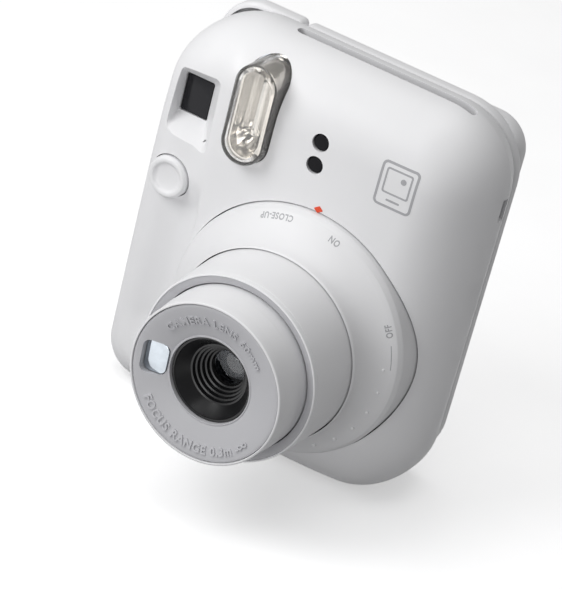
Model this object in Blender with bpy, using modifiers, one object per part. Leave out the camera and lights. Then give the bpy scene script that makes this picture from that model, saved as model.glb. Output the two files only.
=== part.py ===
"""Instant camera: every solid piece of the camera, built with Blender's own tools.

Named sizes are in millimetres and the helpers turn them into metres.
The camera stands on its feet at z = 0, its lens looks along -Y and +X is to the right
of someone who faces the lens. Depths are counted from the lens ring's neck, backwards.
"""
import math

import bmesh
import bpy
from mathutils import Vector

MM = 0.001
GAP = 0.3             # between pieces that touch
MIN_EDGE = 2.4        # shortest edge next to a corner of a cut outline
RUN = 0.35            # between pieces that move past each other
NAME = "instant_camera"
RING_STEPS = 40
SMALL_STEPS = 20
COLUMNS = 60
ROWS = 15

# ---- overall sizes ------------------------------------------------------------
BODY_W = 104.0
BODY_H = 121.2
FOOT_H = 0.8
WALL = 2.0
CORNERS = {"top_left": 24.0, "top_right": 22.0, "bottom_left": 12.0, "bottom_right": 20.0}
LENS_RIGHT = 8.0      # lens axis, right of the body's middle
LENS_UP = 45.0        # lens axis above the table
LENS_OUT = 32.4       # lens face, ahead of the neck, before its dish
FACE_LIP = 0.3        # how far the front barrel's rim stays behind that
FACE_D = 15.0         # crowned front face, behind the neck
SEAM_D = 44.0         # seam between the front housing and the back
BACK_D = 50.0         # flat of the back
EYECUP_D = 58.0       # rear end of the eyecup
HUMP_D = 55.5         # back of the hump over the rollers

# ---- lens -----------------------------------------------------------------------
RING_R = 37.5         # twist ring, outside
NECK_SHARE = 0.76533
NECK_R = RING_R * NECK_SHARE      # twist ring, at its neck
RING_BACK_D = 27.0
MID_R = NECK_R - RUN              # middle barrel at the neck
MID_FRONT_R = MID_R - 0.85
MID_OUT = 19.5
MID_WALL = 1.4
FRONT_R = MID_FRONT_R - 3.3       # front barrel
FACE_R = FRONT_R - 0.5            # lens face
FRONT_WALL = 1.4
FRONT_BACK_D = 2.0    # the front barrel's rear end
HOLE_SHARE = 0.53165
HOLE_R = FACE_R * HOLE_SHARE      # opening in the lens face
DISH = 3.0            # how far the face is dished
MID_BACK_D = 4.0      # the middle barrel's rear end
GLASS_R = 8.0
GUIDE_WALL = 1.4

# ---- film, rollers and drive ------------------------------------------------------
PACK_W = 60.0
PACK_H = 88.0
CHAMBER_WALL = 1.6
CHAMBER_LOW = 9.0     # chamber floor above the table
IMAGE_W = 46.0
IMAGE_H = 62.0
FILM_D = 33.0         # where the film runs
ROLLER_R = 3.6
ROLLER_L = 57.0
ROLLER_Z = 105.5
FILM_T = 0.4
SLOT_L = 56.0
SLOT_T = 2.5
SLOT_D = 35.5
TEETH_ROLLER = 14
TEETH_IDLER = 20
TEETH_PINION = 10
GEAR_T = 3.0

# ---- battery cells ------------------------------------------------------------------
CELL_R = 7.0
CELL_L = 50.5
CELL_LEFT_X = (-49.6, -40.0)      # left side of each cell
CELL_NEAR_D, CELL_FAR_D = 23.8, 48.5      # front of the front cell, back of the rear one
CELLS = (("front", CELL_LEFT_X[0] + CELL_R, CELL_NEAR_D + CELL_R),
         ("rear", CELL_LEFT_X[1] + CELL_R, CELL_FAR_D - CELL_R))   # name, x, depth
CELL_Z = 10.6         # lower end
CONTACT_T = 0.6

# ---- positions on the front -----------------------------------------------------------
FLASH_X, FLASH_Z = -18.8, 102.4
FLASH_W, FLASH_H = 13.2, 30.6
FLASH_FRONT_D = 10.8
SENSOR_X, SENSOR_R = 2.8, 2.5
SENSOR_Z = (102.4, 95.5)
FINDER_X, FINDER_Z = -41.3, 95.0
FINDER_W, FINDER_H = 8.8, 11.4
FINDER_D = 24.0
BUTTON_X, BUTTON_Z = -41.2, 71.0
BUTTON_R = 6.4
BUTTON_TRAVEL = 1.5
GRIP_EDGE_X = -31.0   # where the plain front face ends and the grip begins
EYECUP_X, EYECUP_Z = -36.4, 104.0
EYECUP_R, EYECUP_FLARE = 12.0, 3.0    # and how much wider it is than its stem
EYECUP_WALL = 1.2
DOOR_LEFT_X = -23.9   # free edge of the film door
DOOR_WALL = 1.6
HUMP_Z = (95.0, 117.0)
HUMP_RIGHT = 48.0
LATCH_X, LATCH_Z = -20.0, 62.0
LATCH_W, LATCH_H, LATCH_T = 5.0, 14.0, 1.0
LATCH_OUT, LATCH_TRAVEL = 0.9, 3.0
PAD_W, PAD_H, PAD_T = 30.0, 8.0, 5.0
PAD_Z = (32.0, 72.0)
PACK_WINDOW_X, PACK_WINDOW_Z = 34.0, 53.0
PACK_WINDOW_W, PACK_WINDOW_H = 6.0, 20.0
BATTERY_DOOR_X = -26.5
BATTERY_DOOR_Z = (7.6, 64.4)
COUNTER_X, COUNTER_Z = -38.5, 77.0
COUNTER_WINDOW_R = 3.2
COUNTER_R, COUNTER_OFF = 8.0, 3.6

# ---- small pieces on the outside -------------------------------------------------------
FEET = ((-38.0, 27.4), (29.0, 27.4), (-38.0, 37.0), (29.0, 37.0))   # x, depth
FOOT_R, FOOT_IN = 2.6, 0.9
STRAP_D, STRAP_Z = 37.5, 96.5
STRAP_W, STRAP_H, STRAP_IN = 4.6, 9.0, 4.4
TRIM_EDGE, TRIM_T = 2.0, 6.4
MIRROR_AT = 0.7384 * FACE_R       # from the lens axis
MIRROR_ANGLE = 180.0
MIRROR_W = 0.31224 * FACE_R

# ---- pieces inside ---------------------------------------------------------------------
FLASH_WALL = 1.2
FLASH_BACK_D = 24.6
APERTURE_R = 5.0
SHUTTER_AT = 10.8     # rear of the shutter plate, ahead of the neck
BLADE_T, BLADE_GAP = 0.4, 0.5
BLADE_PIVOT, BLADE_PIVOT_UP = 11.0, 6.0
BAFFLE_D = (18.5, 29.9)
BAFFLE_R = (NECK_R - 8.7, RING_R - 3.9)
BOARD_D = 20.6
BUTTON_OUT = 1.6
MOTOR_R, MOTOR_D, MOTOR_Z = 3.9, 26.2, 90.0
SHAFT_R = 1.5
GEAR_X = 40.2
MOTOR_L, MOTOR_END = 19.0, 37.6
BUTTON_L = 6.0
CLAW_D, CLAW_Z, CLAW_TRAVEL = 36.0, 60.0, 6.0


# ---- worked out from the above ------------------------------------------------------------
MID_DEPTH = (EYECUP_D - LENS_OUT + FACE_LIP) / 2.0
BODY_MID_Z = FOOT_H + BODY_H / 2.0
BODY_TOP = FOOT_H + BODY_H
BODY_RIGHT = BODY_W / 2.0
DOOR_FRONT_D = SEAM_D + GAP
DOOR_T = BACK_D - DOOR_FRONT_D
HINGE_R = DOOR_T / 2.0
HINGE_D = DOOR_FRONT_D + HINGE_R
SEAM_INSET = 2.0
HINGE_X = BODY_RIGHT - SEAM_INSET - HINGE_R - 0.15
CHAMBER_D = FILM_D - 1.5
CHAMBER_TOP = CHAMBER_LOW + PACK_H
CHAMBER_X = (LENS_RIGHT - PACK_W / 2.0, LENS_RIGHT + PACK_W / 2.0)
MODULE = (2.0 * ROLLER_R + FILM_T) / TEETH_ROLLER


def depth(value):
    """World y, in millimetres, of a depth behind the lens ring's neck."""
    return value - MID_DEPTH


# ---- scene and objects -------------------------------------------------------------------
def clear_scene():
    for obj in list(bpy.data.objects):
        bpy.data.objects.remove(obj, do_unlink=True)


def collection(name):
    made = bpy.data.collections.new(name)
    bpy.context.scene.collection.children.link(made)
    return made


def material(name, color, roughness, metallic=0.0):
    mat = bpy.data.materials.new(name)
    mat.use_nodes = True
    shader = mat.node_tree.nodes["Principled BSDF"]
    shader.inputs["Base Color"].default_value = (*color, 1.0)
    shader.inputs["Roughness"].default_value = roughness
    shader.inputs["Metallic"].default_value = metallic
    mat.diffuse_color = (*color, 1.0)
    return mat


LOOKS = {
    "white": ((0.80, 0.80, 0.81), 0.42, 0.0),
    "grey": ((0.60, 0.60, 0.63), 0.45, 0.0),
    "black": ((0.02, 0.02, 0.022), 0.5, 0.0),
    "rubber": ((0.03, 0.03, 0.032), 0.8, 0.0),
    "clear": ((0.85, 0.88, 0.9), 0.05, 0.0),
    "steel": ((0.62, 0.62, 0.64), 0.3, 1.0),
    "mirror": ((0.85, 0.88, 0.9), 0.04, 1.0),
    "board": ((0.03, 0.25, 0.12), 0.5, 0.0),
    "nylon": ((0.85, 0.84, 0.78), 0.5, 0.0),
    "cell": ((0.12, 0.13, 0.15), 0.35, 0.6),
}


def make_object(name, bm, look, place=(0.0, 0.0, 0.0), turn=(0.0, 0.0, 0.0)):
    """Link a mesh, given in millimetres, as one named piece with its own material."""
    bmesh.ops.scale(bm, vec=(MM, MM, MM), verts=bm.verts)
    mesh = bpy.data.meshes.new(name)
    bm.to_mesh(mesh)
    bm.free()
    obj = bpy.data.objects.new(name, mesh)
    obj.location = Vector(place) * MM
    obj.rotation_euler = turn
    if look is None:
        obj.display_type = "WIRE"
        obj.hide_render = True
        CUTTERS.objects.link(obj)
    else:
        color, roughness, metallic = LOOKS[look]
        mesh.materials.append(material(name, color, roughness, metallic))
        PARTS.objects.link(obj)
    return obj


def bevel(obj, width, segments=2, angle=30.0):
    mod = obj.modifiers.new("rounded", "BEVEL")
    mod.width = width * MM
    mod.segments = segments
    mod.limit_method = "ANGLE"
    mod.angle_limit = math.radians(angle)


def boolean(obj, other, operation="DIFFERENCE"):
    mod = obj.modifiers.new(other.name, "BOOLEAN")
    mod.operation = operation
    mod.solver = "EXACT"
    mod.object = other


def box(name, look, low, high, rounded=0.0, segments=2, turn=(0.0, 0.0, 0.0)):
    """A box between two corners; its origin is its middle."""
    bm = bmesh.new()
    bmesh.ops.create_cube(bm, size=1.0)
    size = [high[i] - low[i] for i in range(3)]
    bmesh.ops.scale(bm, vec=size, verts=bm.verts)
    middle = [(high[i] + low[i]) / 2.0 for i in range(3)]
    obj = make_object(name, bm, look, middle, turn)
    if rounded:
        bevel(obj, rounded, segments)
    return obj


FORWARD = (math.pi / 2.0, 0.0, 0.0)     # turns local +Z to the front, -Y
SIDEWAYS = (0.0, math.pi / 2.0, 0.0)    # turns local +Z to +X
UPRIGHT = (0.0, 0.0, 0.0)


def turned(name, look, profile, place, turn=UPRIGHT, steps=RING_STEPS):
    """A turned piece from (radius, height) points, listed top to bottom on the outside."""
    bm = bmesh.new()
    verts = [bm.verts.new((r, 0.0, h)) for r, h in profile]
    count = len(verts)
    closed = all(r > 0.0 for r, _ in profile)
    for i in range(count if closed else count - 1):
        bm.edges.new((verts[i], verts[(i + 1) % count]))
    obj = make_object(name, bm, look, place, turn)
    mod = obj.modifiers.new("turned", "SCREW")
    mod.axis = "Z"
    mod.angle = 2.0 * math.pi
    mod.steps = steps
    mod.render_steps = steps
    mod.use_merge_vertices = True
    mod.merge_threshold = 0.00005
    mod.use_normal_calculate = False
    return obj


def disc(name, look, radius, low, high, place, turn=UPRIGHT, steps=SMALL_STEPS, edge=0.0):
    profile = [(0.0, high), (radius - edge, high), (radius, high - edge),
               (radius, low + edge), (radius - edge, low), (0.0, low)]
    if not edge:
        profile = [(0.0, high), (radius, high), (radius, low), (0.0, low)]
    return turned(name, look, profile, place, turn, steps)


def pipe(name, look, outer, inner, low, high, place, turn=UPRIGHT, steps=RING_STEPS):
    profile = [(inner, high), (outer, high), (outer, low), (inner, low)]
    return turned(name, look, profile, place, turn, steps)


def cylinder(radius, low, high):
    return [(0.0, high), (radius, high), (radius, low), (0.0, low)]


def block(name, look, x, z, width, height, front, back, rounded=0.0):
    """A box given by its middle as seen from the front, and its two depths."""
    return box(name, look, (x - width / 2, depth(front), z - height / 2),
               (x + width / 2, depth(back), z + height / 2), rounded)


def bore(name, x, z, radius, front, back, steps=SMALL_STEPS):
    """A cutter along the depth."""
    return turned(name, None, cylinder(radius, -back, -front), (x, depth(0.0), z), FORWARD, steps)


def plate(name, look, outline, low, high, rounded=0.0, segments=2):
    """An upright plate from (x, z) outline points, between two depths."""
    bm = bmesh.new()
    middle = (low + high) / 2.0
    front = [bm.verts.new((x, low - middle, z)) for x, z in outline]
    face = bm.faces.new(front)
    made = bmesh.ops.extrude_face_region(bm, geom=[face])
    rear = [v for v in made["geom"] if isinstance(v, bmesh.types.BMVert)]
    bmesh.ops.translate(bm, vec=(0.0, high - low, 0.0), verts=rear)
    bmesh.ops.recalc_face_normals(bm, faces=bm.faces)
    obj = make_object(name, bm, look, (0.0, depth(middle), 0.0))
    if rounded:
        bevel(obj, rounded, segments, 60.0)
    return obj


def set_origin(obj, place):
    """Move an object's origin to a point, given in millimetres, and leave its mesh in place."""
    point = Vector(place) * MM
    shift = point - obj.location
    for vert in obj.data.vertices:
        vert.co -= shift
    obj.location = point


# ---- the housing's outer surface -----------------------------------------------------------
# Roll-over from the front face into each side: how far in, and how deep.
ROLL = {"left": (10.0, 10.0), "right": (22.0, 22.0), "top": (20.0, 20.0), "bottom": (9.0, 9.0)}
CROWN = 2.4           # how far the front face falls back towards its edges
GRIP_FALL = 1.6       # how far the grip side lies behind the front face
HOLLOW_FALL = 3.2     # how much deeper the finger hollow beside the lens is
HOLLOW_Z = (8.0, 74.0)
HOLLOW_LEFT_X = -50.0
REAR_TAPER_D = 36.0   # where the sides start to draw in towards the seam


def corner_radius(x, z):
    side = "left" if x < 0.0 else "right"
    return CORNERS[("top_" if z > BODY_MID_Z else "bottom_") + side]


def outline_distance(x, z):
    """Distance inside (negative) or outside the housing's outline, seen from the front."""
    radius = corner_radius(x, z)
    qx = abs(x) - BODY_W / 2.0 + radius
    qz = abs(z - BODY_MID_Z) - BODY_H / 2.0 + radius
    return math.hypot(max(qx, 0.0), max(qz, 0.0)) + min(max(qx, qz), 0.0) - radius


def ray_to_inset(angle, inset):
    """How far from the lens axis a ray meets the outline drawn in by an inset."""
    low, high = 0.0, BODY_W + BODY_H
    for _ in range(48):
        mid = (low + high) / 2.0
        x = LENS_RIGHT + mid * math.cos(angle)
        z = LENS_UP + mid * math.sin(angle)
        if outline_distance(x, z) < -inset:
            low = mid
        else:
            high = mid
    return low


def smooth(value):
    value = min(max(value, 0.0), 1.0)
    return value * value * (3.0 - 2.0 * value)


def roll_at(x, z):
    """The roll-over's reach and depth near a point, blended between the four sides."""
    dx, dz = x / (BODY_W / 2.0), (z - BODY_MID_Z) / (BODY_H / 2.0)
    power = 4.0
    weights = {"left": max(-dx, 0.0) ** power, "right": max(dx, 0.0) ** power,
               "top": max(dz, 0.0) ** power, "bottom": max(-dz, 0.0) ** power}
    total = sum(weights.values()) + 1e-9
    reach = sum(weights[k] * ROLL[k][0] for k in ROLL) / total
    fall = sum(weights[k] * ROLL[k][1] for k in ROLL) / total
    return reach, fall


def face_depth(x, z):
    """Depth of the crowned front face, before it rolls over into the sides."""
    dx, dz = x / (BODY_W / 2.0), (z - BODY_MID_Z) / (BODY_H / 2.0)
    grip = smooth((GRIP_EDGE_X - x) / 9.0 + 0.35)
    low, high = HOLLOW_Z
    hollow = grip * smooth((x - HOLLOW_LEFT_X) / 14.0) * smooth((z - low) / 14.0) * smooth((high - z) / 12.0)
    return FACE_D + CROWN * (0.5 * dx * dx + 0.5 * dz * dz) + GRIP_FALL * grip + HOLLOW_FALL * hollow


def housing_profile(angle):
    """Points (x, depth, z) outwards from the twist ring to the seam, along one ray."""
    points = []
    start = RING_R - 1.0
    edge = ray_to_inset(angle, 0.0)
    ex, ez = LENS_RIGHT + edge * math.cos(angle), LENS_UP + edge * math.sin(angle)
    reach, fall = roll_at(ex, ez)
    flat = ray_to_inset(angle, reach)
    radii = [start + (flat - start) * i / 12.0 for i in range(12)] if flat > start else []
    for r in radii:
        x, z = LENS_RIGHT + r * math.cos(angle), LENS_UP + r * math.sin(angle)
        points.append((x, face_depth(x, z), z))
    for i in range(25):
        turn = i / 24.0 * math.pi / 2.0
        inset = reach * (1.0 - math.sin(turn))
        r = ray_to_inset(angle, inset)
        if r < start:
            continue
        x, z = LENS_RIGHT + r * math.cos(angle), LENS_UP + r * math.sin(angle)
        points.append((x, face_depth(x, z) + fall * (1.0 - math.cos(turn)), z))
    side = points[-1][1]
    for i in range(1, 9):
        d = side + (SEAM_D - side) * i / 8.0
        inset = SEAM_INSET * max(0.0, (d - REAR_TAPER_D) / (SEAM_D - REAR_TAPER_D)) ** 2
        r = ray_to_inset(angle, inset)
        points.append((LENS_RIGHT + r * math.cos(angle), d, LENS_UP + r * math.sin(angle)))
    return points


def resample(points, count):
    """The same line with evenly spaced points."""
    lengths = [0.0]
    for a, b in zip(points, points[1:]):
        lengths.append(lengths[-1] + math.dist(a, b))
    out = []
    for i in range(count):
        want = lengths[-1] * i / (count - 1)
        k = max(j for j in range(len(lengths) - 1) if lengths[j] <= want + 1e-9)
        span = lengths[k + 1] - lengths[k]
        f = (want - lengths[k]) / span if span else 0.0
        out.append(tuple(points[k][n] + f * (points[k + 1][n] - points[k][n]) for n in range(3)))
    return out


def housing_surface():
    bm = bmesh.new()
    columns = []
    for c in range(COLUMNS):
        line = resample(housing_profile(2.0 * math.pi * c / COLUMNS), ROWS)
        columns.append([bm.verts.new((x, depth(d), z)) for x, d, z in line])
    for c in range(COLUMNS):
        here, after = columns[c], columns[(c + 1) % COLUMNS]
        for r in range(ROWS - 1):
            bm.faces.new((here[r], here[r + 1], after[r + 1], after[r]))
    return bm


# ---- outlines ------------------------------------------------------------------------------
def flat_outline(inset, left=None, right=None, low=None, high=None, points=7):
    """The housing's outline drawn in by an inset and clipped, as (x, z) points."""
    x0, x1 = -BODY_W / 2.0 + inset, BODY_W / 2.0 - inset
    z0, z1 = FOOT_H + inset, BODY_TOP - inset
    out = []
    for side_x, side_z, name, start in ((x1, z0, "bottom_right", -90.0), (x1, z1, "top_right", 0.0),
                                        (x0, z1, "top_left", 90.0), (x0, z0, "bottom_left", 180.0)):
        radius = CORNERS[name] - inset
        cx = side_x - math.copysign(radius, side_x)
        cz = side_z - math.copysign(radius, side_z - BODY_MID_Z)
        for i in range(points):
            angle = math.radians(start + 90.0 * i / (points - 1))
            out.append((cx + radius * math.cos(angle), cz + radius * math.sin(angle)))
    cuts = ((0, left, 1), (0, right, -1), (1, low, 1), (1, high, -1))
    for axis, limit, side in cuts:
        out = clip(out, axis, limit, side)
    ends = [p for p in out for axis, limit, _ in cuts if limit is not None and abs(p[axis] - limit) < 1e-6]
    return [p for p in out if p in ends or all(math.dist(p, e) > MIN_EDGE for e in ends)]


def clip(points, axis, limit, side):
    """Keep the part of a closed outline on one side of a limit."""
    if limit is None:
        return points
    out = []
    for a, b in zip(points, points[1:] + points[:1]):
        da, db = side * (a[axis] - limit), side * (b[axis] - limit)
        if da >= 0.0:
            out.append(a)
        if (da > 0.0) != (db > 0.0) and abs(da - db) > 1e-9 and da * db < 0.0:
            f = da / (da - db)
            out.append((a[0] + f * (b[0] - a[0]), a[1] + f * (b[1] - a[1])))
    return out


def stadium(width, height, middle, points=7):
    """(x, z) points of an upright slot shape round a middle."""
    radius = min(width, height) / 2.0
    dx, dz = width / 2.0 - radius, height / 2.0 - radius
    out = []
    for sx, sz, start in ((1, -1, -90.0), (1, 1, 0.0), (-1, 1, 90.0), (-1, -1, 180.0)):
        for i in range(points):
            angle = math.radians(start + 90.0 * i / (points - 1))
            spot = (middle[0] + sx * dx + radius * math.cos(angle),
                    middle[1] + sz * dz + radius * math.sin(angle))
            if not out or math.dist(out[-1], spot) > 1e-6:
                out.append(spot)
    if math.dist(out[0], out[-1]) < 1e-6:
        out.pop()
    return out


# ---- housings ------------------------------------------------------------------------------
def front_housing():
    obj = make_object("front_housing", housing_surface(), "white")
    mod = obj.modifiers.new("wall", "SOLIDIFY")
    mod.thickness = WALL * MM
    mod.offset = -1.0
    mod.use_even_offset = True
    flash_hole = stadium(FLASH_W + 2 * GAP, FLASH_H + 2 * GAP, (FLASH_X, FLASH_Z))
    half_slot = SLOT_L / 2 + TRIM_EDGE + GAP
    cuts = [
        plate("cut_flash", None, flash_hole, 5.0, 29.5),
        block("cut_finder", None, FINDER_X, FINDER_Z, FINDER_W + 2 * GAP, FINDER_H + 2 * GAP, 8.0, 30.0),
        bore("cut_button", BUTTON_X, BUTTON_Z, BUTTON_R + RUN, 5.0, 27.0),
        bore("cut_ring", LENS_RIGHT, LENS_UP, RING_R + RUN, -5.0, 36.0, 60),
        box("cut_slot", None, (LENS_RIGHT - half_slot, depth(SLOT_D - TRIM_T / 2 - GAP), BODY_TOP - 8.0),
            (LENS_RIGHT + half_slot, depth(SLOT_D + TRIM_T / 2 + GAP), BODY_TOP + 4.0)),
        box("cut_strap", None, (BODY_RIGHT - STRAP_IN, depth(STRAP_D - STRAP_W / 2), STRAP_Z - STRAP_H / 2),
            (BODY_RIGHT + 5.0, depth(STRAP_D + STRAP_W / 2), STRAP_Z + STRAP_H / 2)),
    ]
    for i, z in enumerate(SENSOR_Z):
        cuts.append(bore(f"cut_sensor_{i}", SENSOR_X, z, SENSOR_R + GAP, 5.0, 26.0))
    for i, (x, d) in enumerate(FEET):
        cuts.append(turned(f"cut_foot_{i}", None, cylinder(FOOT_R + GAP, -3.0, FOOT_H + FOOT_IN + GAP),
                           (x, depth(d), 0.0), UPRIGHT, SMALL_STEPS))
    for cutter in cuts:
        boolean(obj, cutter)


def rear_cover():
    """The fixed back of the grip side, with the eyepiece, counter and battery openings."""
    right = DOOR_LEFT_X - GAP
    obj = plate("rear_cover", "white", flat_outline(SEAM_INSET, right=right), DOOR_FRONT_D, BACK_D, 1.6)
    low, high = BATTERY_DOOR_Z
    inside = flat_outline(SEAM_INSET + DOOR_WALL, right=right - DOOR_WALL)
    cuts = [
        plate("cut_rear_inside", None, inside, SEAM_D - 3.0, BACK_D - 1.2),
        bore("cut_eyepiece", EYECUP_X, EYECUP_Z, EYECUP_R - EYECUP_FLARE + GAP, SEAM_D - 3.0, BACK_D + 4.0),
        bore("cut_counter", COUNTER_X, COUNTER_Z, COUNTER_WINDOW_R + GAP, SEAM_D - 3.0, BACK_D + 4.0),
        box("cut_battery", None, (-BODY_W, depth(SEAM_D - 4.0), low - GAP),
            (BATTERY_DOOR_X + GAP, depth(BACK_D + 4.0), high + GAP)),
    ]
    for cutter in cuts:
        boolean(obj, cutter)


def film_door():
    outline = flat_outline(SEAM_INSET + 0.15, left=DOOR_LEFT_X)
    obj = plate("film_door", "white", outline, DOOR_FRONT_D, BACK_D, HINGE_R - 0.3, 3)
    hump = box("join_hump", None, (DOOR_LEFT_X + 1.5, depth(BACK_D - 3.0), HUMP_Z[0]),
               (HUMP_RIGHT, depth(HUMP_D), HUMP_Z[1]), 2.6, 3)
    boolean(obj, hump, "UNION")
    rim = SEAM_INSET + 3.2
    inside = flat_outline(rim, left=DOOR_LEFT_X + 2.6, right=HINGE_X - HINGE_R)
    cuts = [
        plate("cut_door_inside", None, inside, SEAM_D - 3.0, BACK_D - DOOR_WALL),
        box("cut_hump_inside", None, (DOOR_LEFT_X + 4.0, depth(SEAM_D - 2.0), HUMP_Z[0] + 2.4),
            (HINGE_X - HINGE_R - 1.0, depth(HUMP_D - 2.2), HUMP_Z[1] - 3.0)),
        block("cut_pack_window", None, PACK_WINDOW_X, PACK_WINDOW_Z, PACK_WINDOW_W + 2 * GAP,
              PACK_WINDOW_H + 2 * GAP, SEAM_D - 3.0, BACK_D + 3.0),
        block("cut_latch", None, LATCH_X, LATCH_Z + LATCH_TRAVEL / 2, LATCH_W + 2 * RUN,
              LATCH_H + LATCH_TRAVEL + 2 * RUN, BACK_D - LATCH_T - RUN, BACK_D + 3.0),
    ]
    for cutter in cuts:
        boolean(obj, cutter)
    set_origin(obj, (HINGE_X, depth(HINGE_D), 0.0))
    block("pack_window", "clear", PACK_WINDOW_X, PACK_WINDOW_Z, PACK_WINDOW_W, PACK_WINDOW_H,
          BACK_D - 1.4, BACK_D - 0.3)
    block("door_latch", "white", LATCH_X, LATCH_Z, LATCH_W, LATCH_H, BACK_D - LATCH_T, BACK_D + LATCH_OUT, 0.5)
    for side, z in zip(("lower", "upper"), PAD_Z):
        block(f"pressure_pad_{side}", "steel", LENS_RIGHT, z, PAD_W, PAD_H,
              BACK_D - DOOR_WALL - GAP - PAD_T, BACK_D - DOOR_WALL - GAP, 0.4)


def battery_door():
    low, high = BATTERY_DOOR_Z
    outline = flat_outline(SEAM_INSET + 0.15, right=BATTERY_DOOR_X, low=low, high=high)
    obj = plate("battery_door", "white", outline, DOOR_FRONT_D, BACK_D, HINGE_R - 0.3, 3)
    inside = flat_outline(SEAM_INSET + 4.0, right=BATTERY_DOOR_X + 2.0, low=low + 2.0, high=high - 2.0)
    boolean(obj, plate("cut_battery_door", None, inside, SEAM_D - 3.0, BACK_D - 1.1))
    set_origin(obj, (-HINGE_X, depth(HINGE_D), 0.0))


def feet_and_strap():
    names = ("foot_front_left", "foot_front_right", "foot_rear_left", "foot_rear_right")
    for name, (x, d) in zip(names, FEET):
        disc(name, "rubber", FOOT_R, 0.0, FOOT_H + FOOT_IN, (x, depth(d), 0.0), edge=0.3)
    disc("strap_bar", "steel", 0.9, -STRAP_H / 2 + GAP, STRAP_H / 2 - GAP,
         (BODY_RIGHT - 1.9, depth(STRAP_D), STRAP_Z), steps=12)


def exit_trim():
    obj = box("exit_trim", "white",
              (LENS_RIGHT - SLOT_L / 2 - TRIM_EDGE, depth(SLOT_D - TRIM_T / 2), BODY_TOP - 4.4),
              (LENS_RIGHT + SLOT_L / 2 + TRIM_EDGE, depth(SLOT_D + TRIM_T / 2), BODY_TOP - 1.4), 0.5)
    slot = box("cut_trim", None, (LENS_RIGHT - SLOT_L / 2, depth(SLOT_D - SLOT_T / 2), BODY_TOP - 9.0),
               (LENS_RIGHT + SLOT_L / 2, depth(SLOT_D + SLOT_T / 2), BODY_TOP + 3.0))
    boolean(obj, slot)


# ---- viewfinder, flash and sensors -------------------------------------------------------------
def viewfinder():
    block("finder_window", "clear", FINDER_X, FINDER_Z, FINDER_W, FINDER_H, FINDER_D, FINDER_D + 1.5)
    tube = block("finder_tube", "black", FINDER_X, FINDER_Z, FINDER_W + 1.8, FINDER_H + 1.8,
                 FINDER_D + 4.0, SEAM_D - 1.0, 0.8)
    boolean(tube, block("cut_tube", None, FINDER_X, FINDER_Z, FINDER_W, FINDER_H,
                        FINDER_D - 4.0, SEAM_D + 4.0))
    spot = (EYECUP_X, depth(0.0), EYECUP_Z)
    stem = EYECUP_R - EYECUP_FLARE
    inner = stem - EYECUP_WALL
    disc("finder_eyepiece", "clear", inner - GAP, -BACK_D - 2.0, -BACK_D + 1.0, spot, FORWARD, edge=0.4)
    turned("eyecup", "rubber",
           [(inner, -SEAM_D - 2 * GAP), (stem, -SEAM_D - 2 * GAP), (stem, -BACK_D - GAP),
            (EYECUP_R - 0.4, -BACK_D - GAP), (EYECUP_R, -BACK_D - 4.0), (EYECUP_R - 0.4, -EYECUP_D + 0.8),
            (EYECUP_R - 1.2, -EYECUP_D), (inner + 1.0, -EYECUP_D + 1.2), (inner, -EYECUP_D + 2.6)],
           spot, FORWARD, 28)


def flash():
    middle = (FLASH_X, FLASH_Z)
    cover = plate("flash_cover", "clear", stadium(FLASH_W, FLASH_H, middle), FLASH_FRONT_D, FLASH_BACK_D, 1.0)
    width, height = FLASH_W - 2 * FLASH_WALL, FLASH_H - 2 * FLASH_WALL
    hollow = stadium(width, height, middle)
    boolean(cover, plate("cut_cover", None, hollow, FLASH_FRONT_D + FLASH_WALL, FLASH_BACK_D + 4.0))
    bowl = plate("flash_reflector", "steel", stadium(width - 2 * GAP, height - 2 * GAP, middle),
                 FLASH_FRONT_D + 4.0, FLASH_BACK_D - 1.0)
    boolean(bowl, block("cut_bowl", None, FLASH_X, FLASH_Z, 7.4, 19.0, FLASH_FRONT_D, FLASH_BACK_D - 2.2, 1.5))
    disc("flash_tube", "clear", 1.4, -8.6, 8.6, (FLASH_X, depth(FLASH_BACK_D - 5.2), FLASH_Z),
         steps=12, edge=0.3)


def sensors():
    for name, z in zip(("sensor_window_upper", "sensor_window_lower"), SENSOR_Z):
        front = face_depth(SENSOR_X, z) + 0.5
        disc(name, "black", SENSOR_R, -front - 2.4, -front, (SENSOR_X, depth(0.0), z), FORWARD, edge=0.25)


def button():
    front = face_depth(BUTTON_X, BUTTON_Z) - BUTTON_OUT
    turned("shutter_button", "white",
           [(0.0, -1.2), (BUTTON_R - 2.6, -0.9), (BUTTON_R - 1.6, -0.1), (BUTTON_R - 1.0, 0.0),
            (BUTTON_R - 0.2, -0.6), (BUTTON_R, -1.4), (BUTTON_R, -BUTTON_L), (0.0, -BUTTON_L)],
           (BUTTON_X, depth(front), BUTTON_Z), FORWARD, 24)
    back = front + BUTTON_L + BUTTON_TRAVEL + RUN
    block("shutter_switch", "black", BUTTON_X, BUTTON_Z, 6.0, 6.0, back, back + 2.6, 0.3)


# ---- lens: heights are counted forwards from the neck ---------------------------------------------
def lens_spot():
    return (LENS_RIGHT, depth(0.0), LENS_UP)


def twist_ring():
    outer = [(NECK_R, 0.0)]
    for i in range(7):
        part = i / 6.0
        radius = NECK_R + 0.4 + (RING_R - NECK_R - 1.6) * part ** 1.9
        outer.append((radius, -11.5 * part ** 0.8))
    outer += [(RING_R - 0.3, -12.6), (RING_R, -14.0), (RING_R, -RING_BACK_D)]
    inner = [(RING_R - 1.6, -RING_BACK_D), (RING_R - 1.6, -14.5), (RING_R - 3.4, -13.4),
             (NECK_R + 3.0, -10.0), (NECK_R + 0.9, -5.0), (NECK_R, -2.4)]
    turned("twist_ring", "white", outer + inner, lens_spot(), FORWARD)


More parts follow.
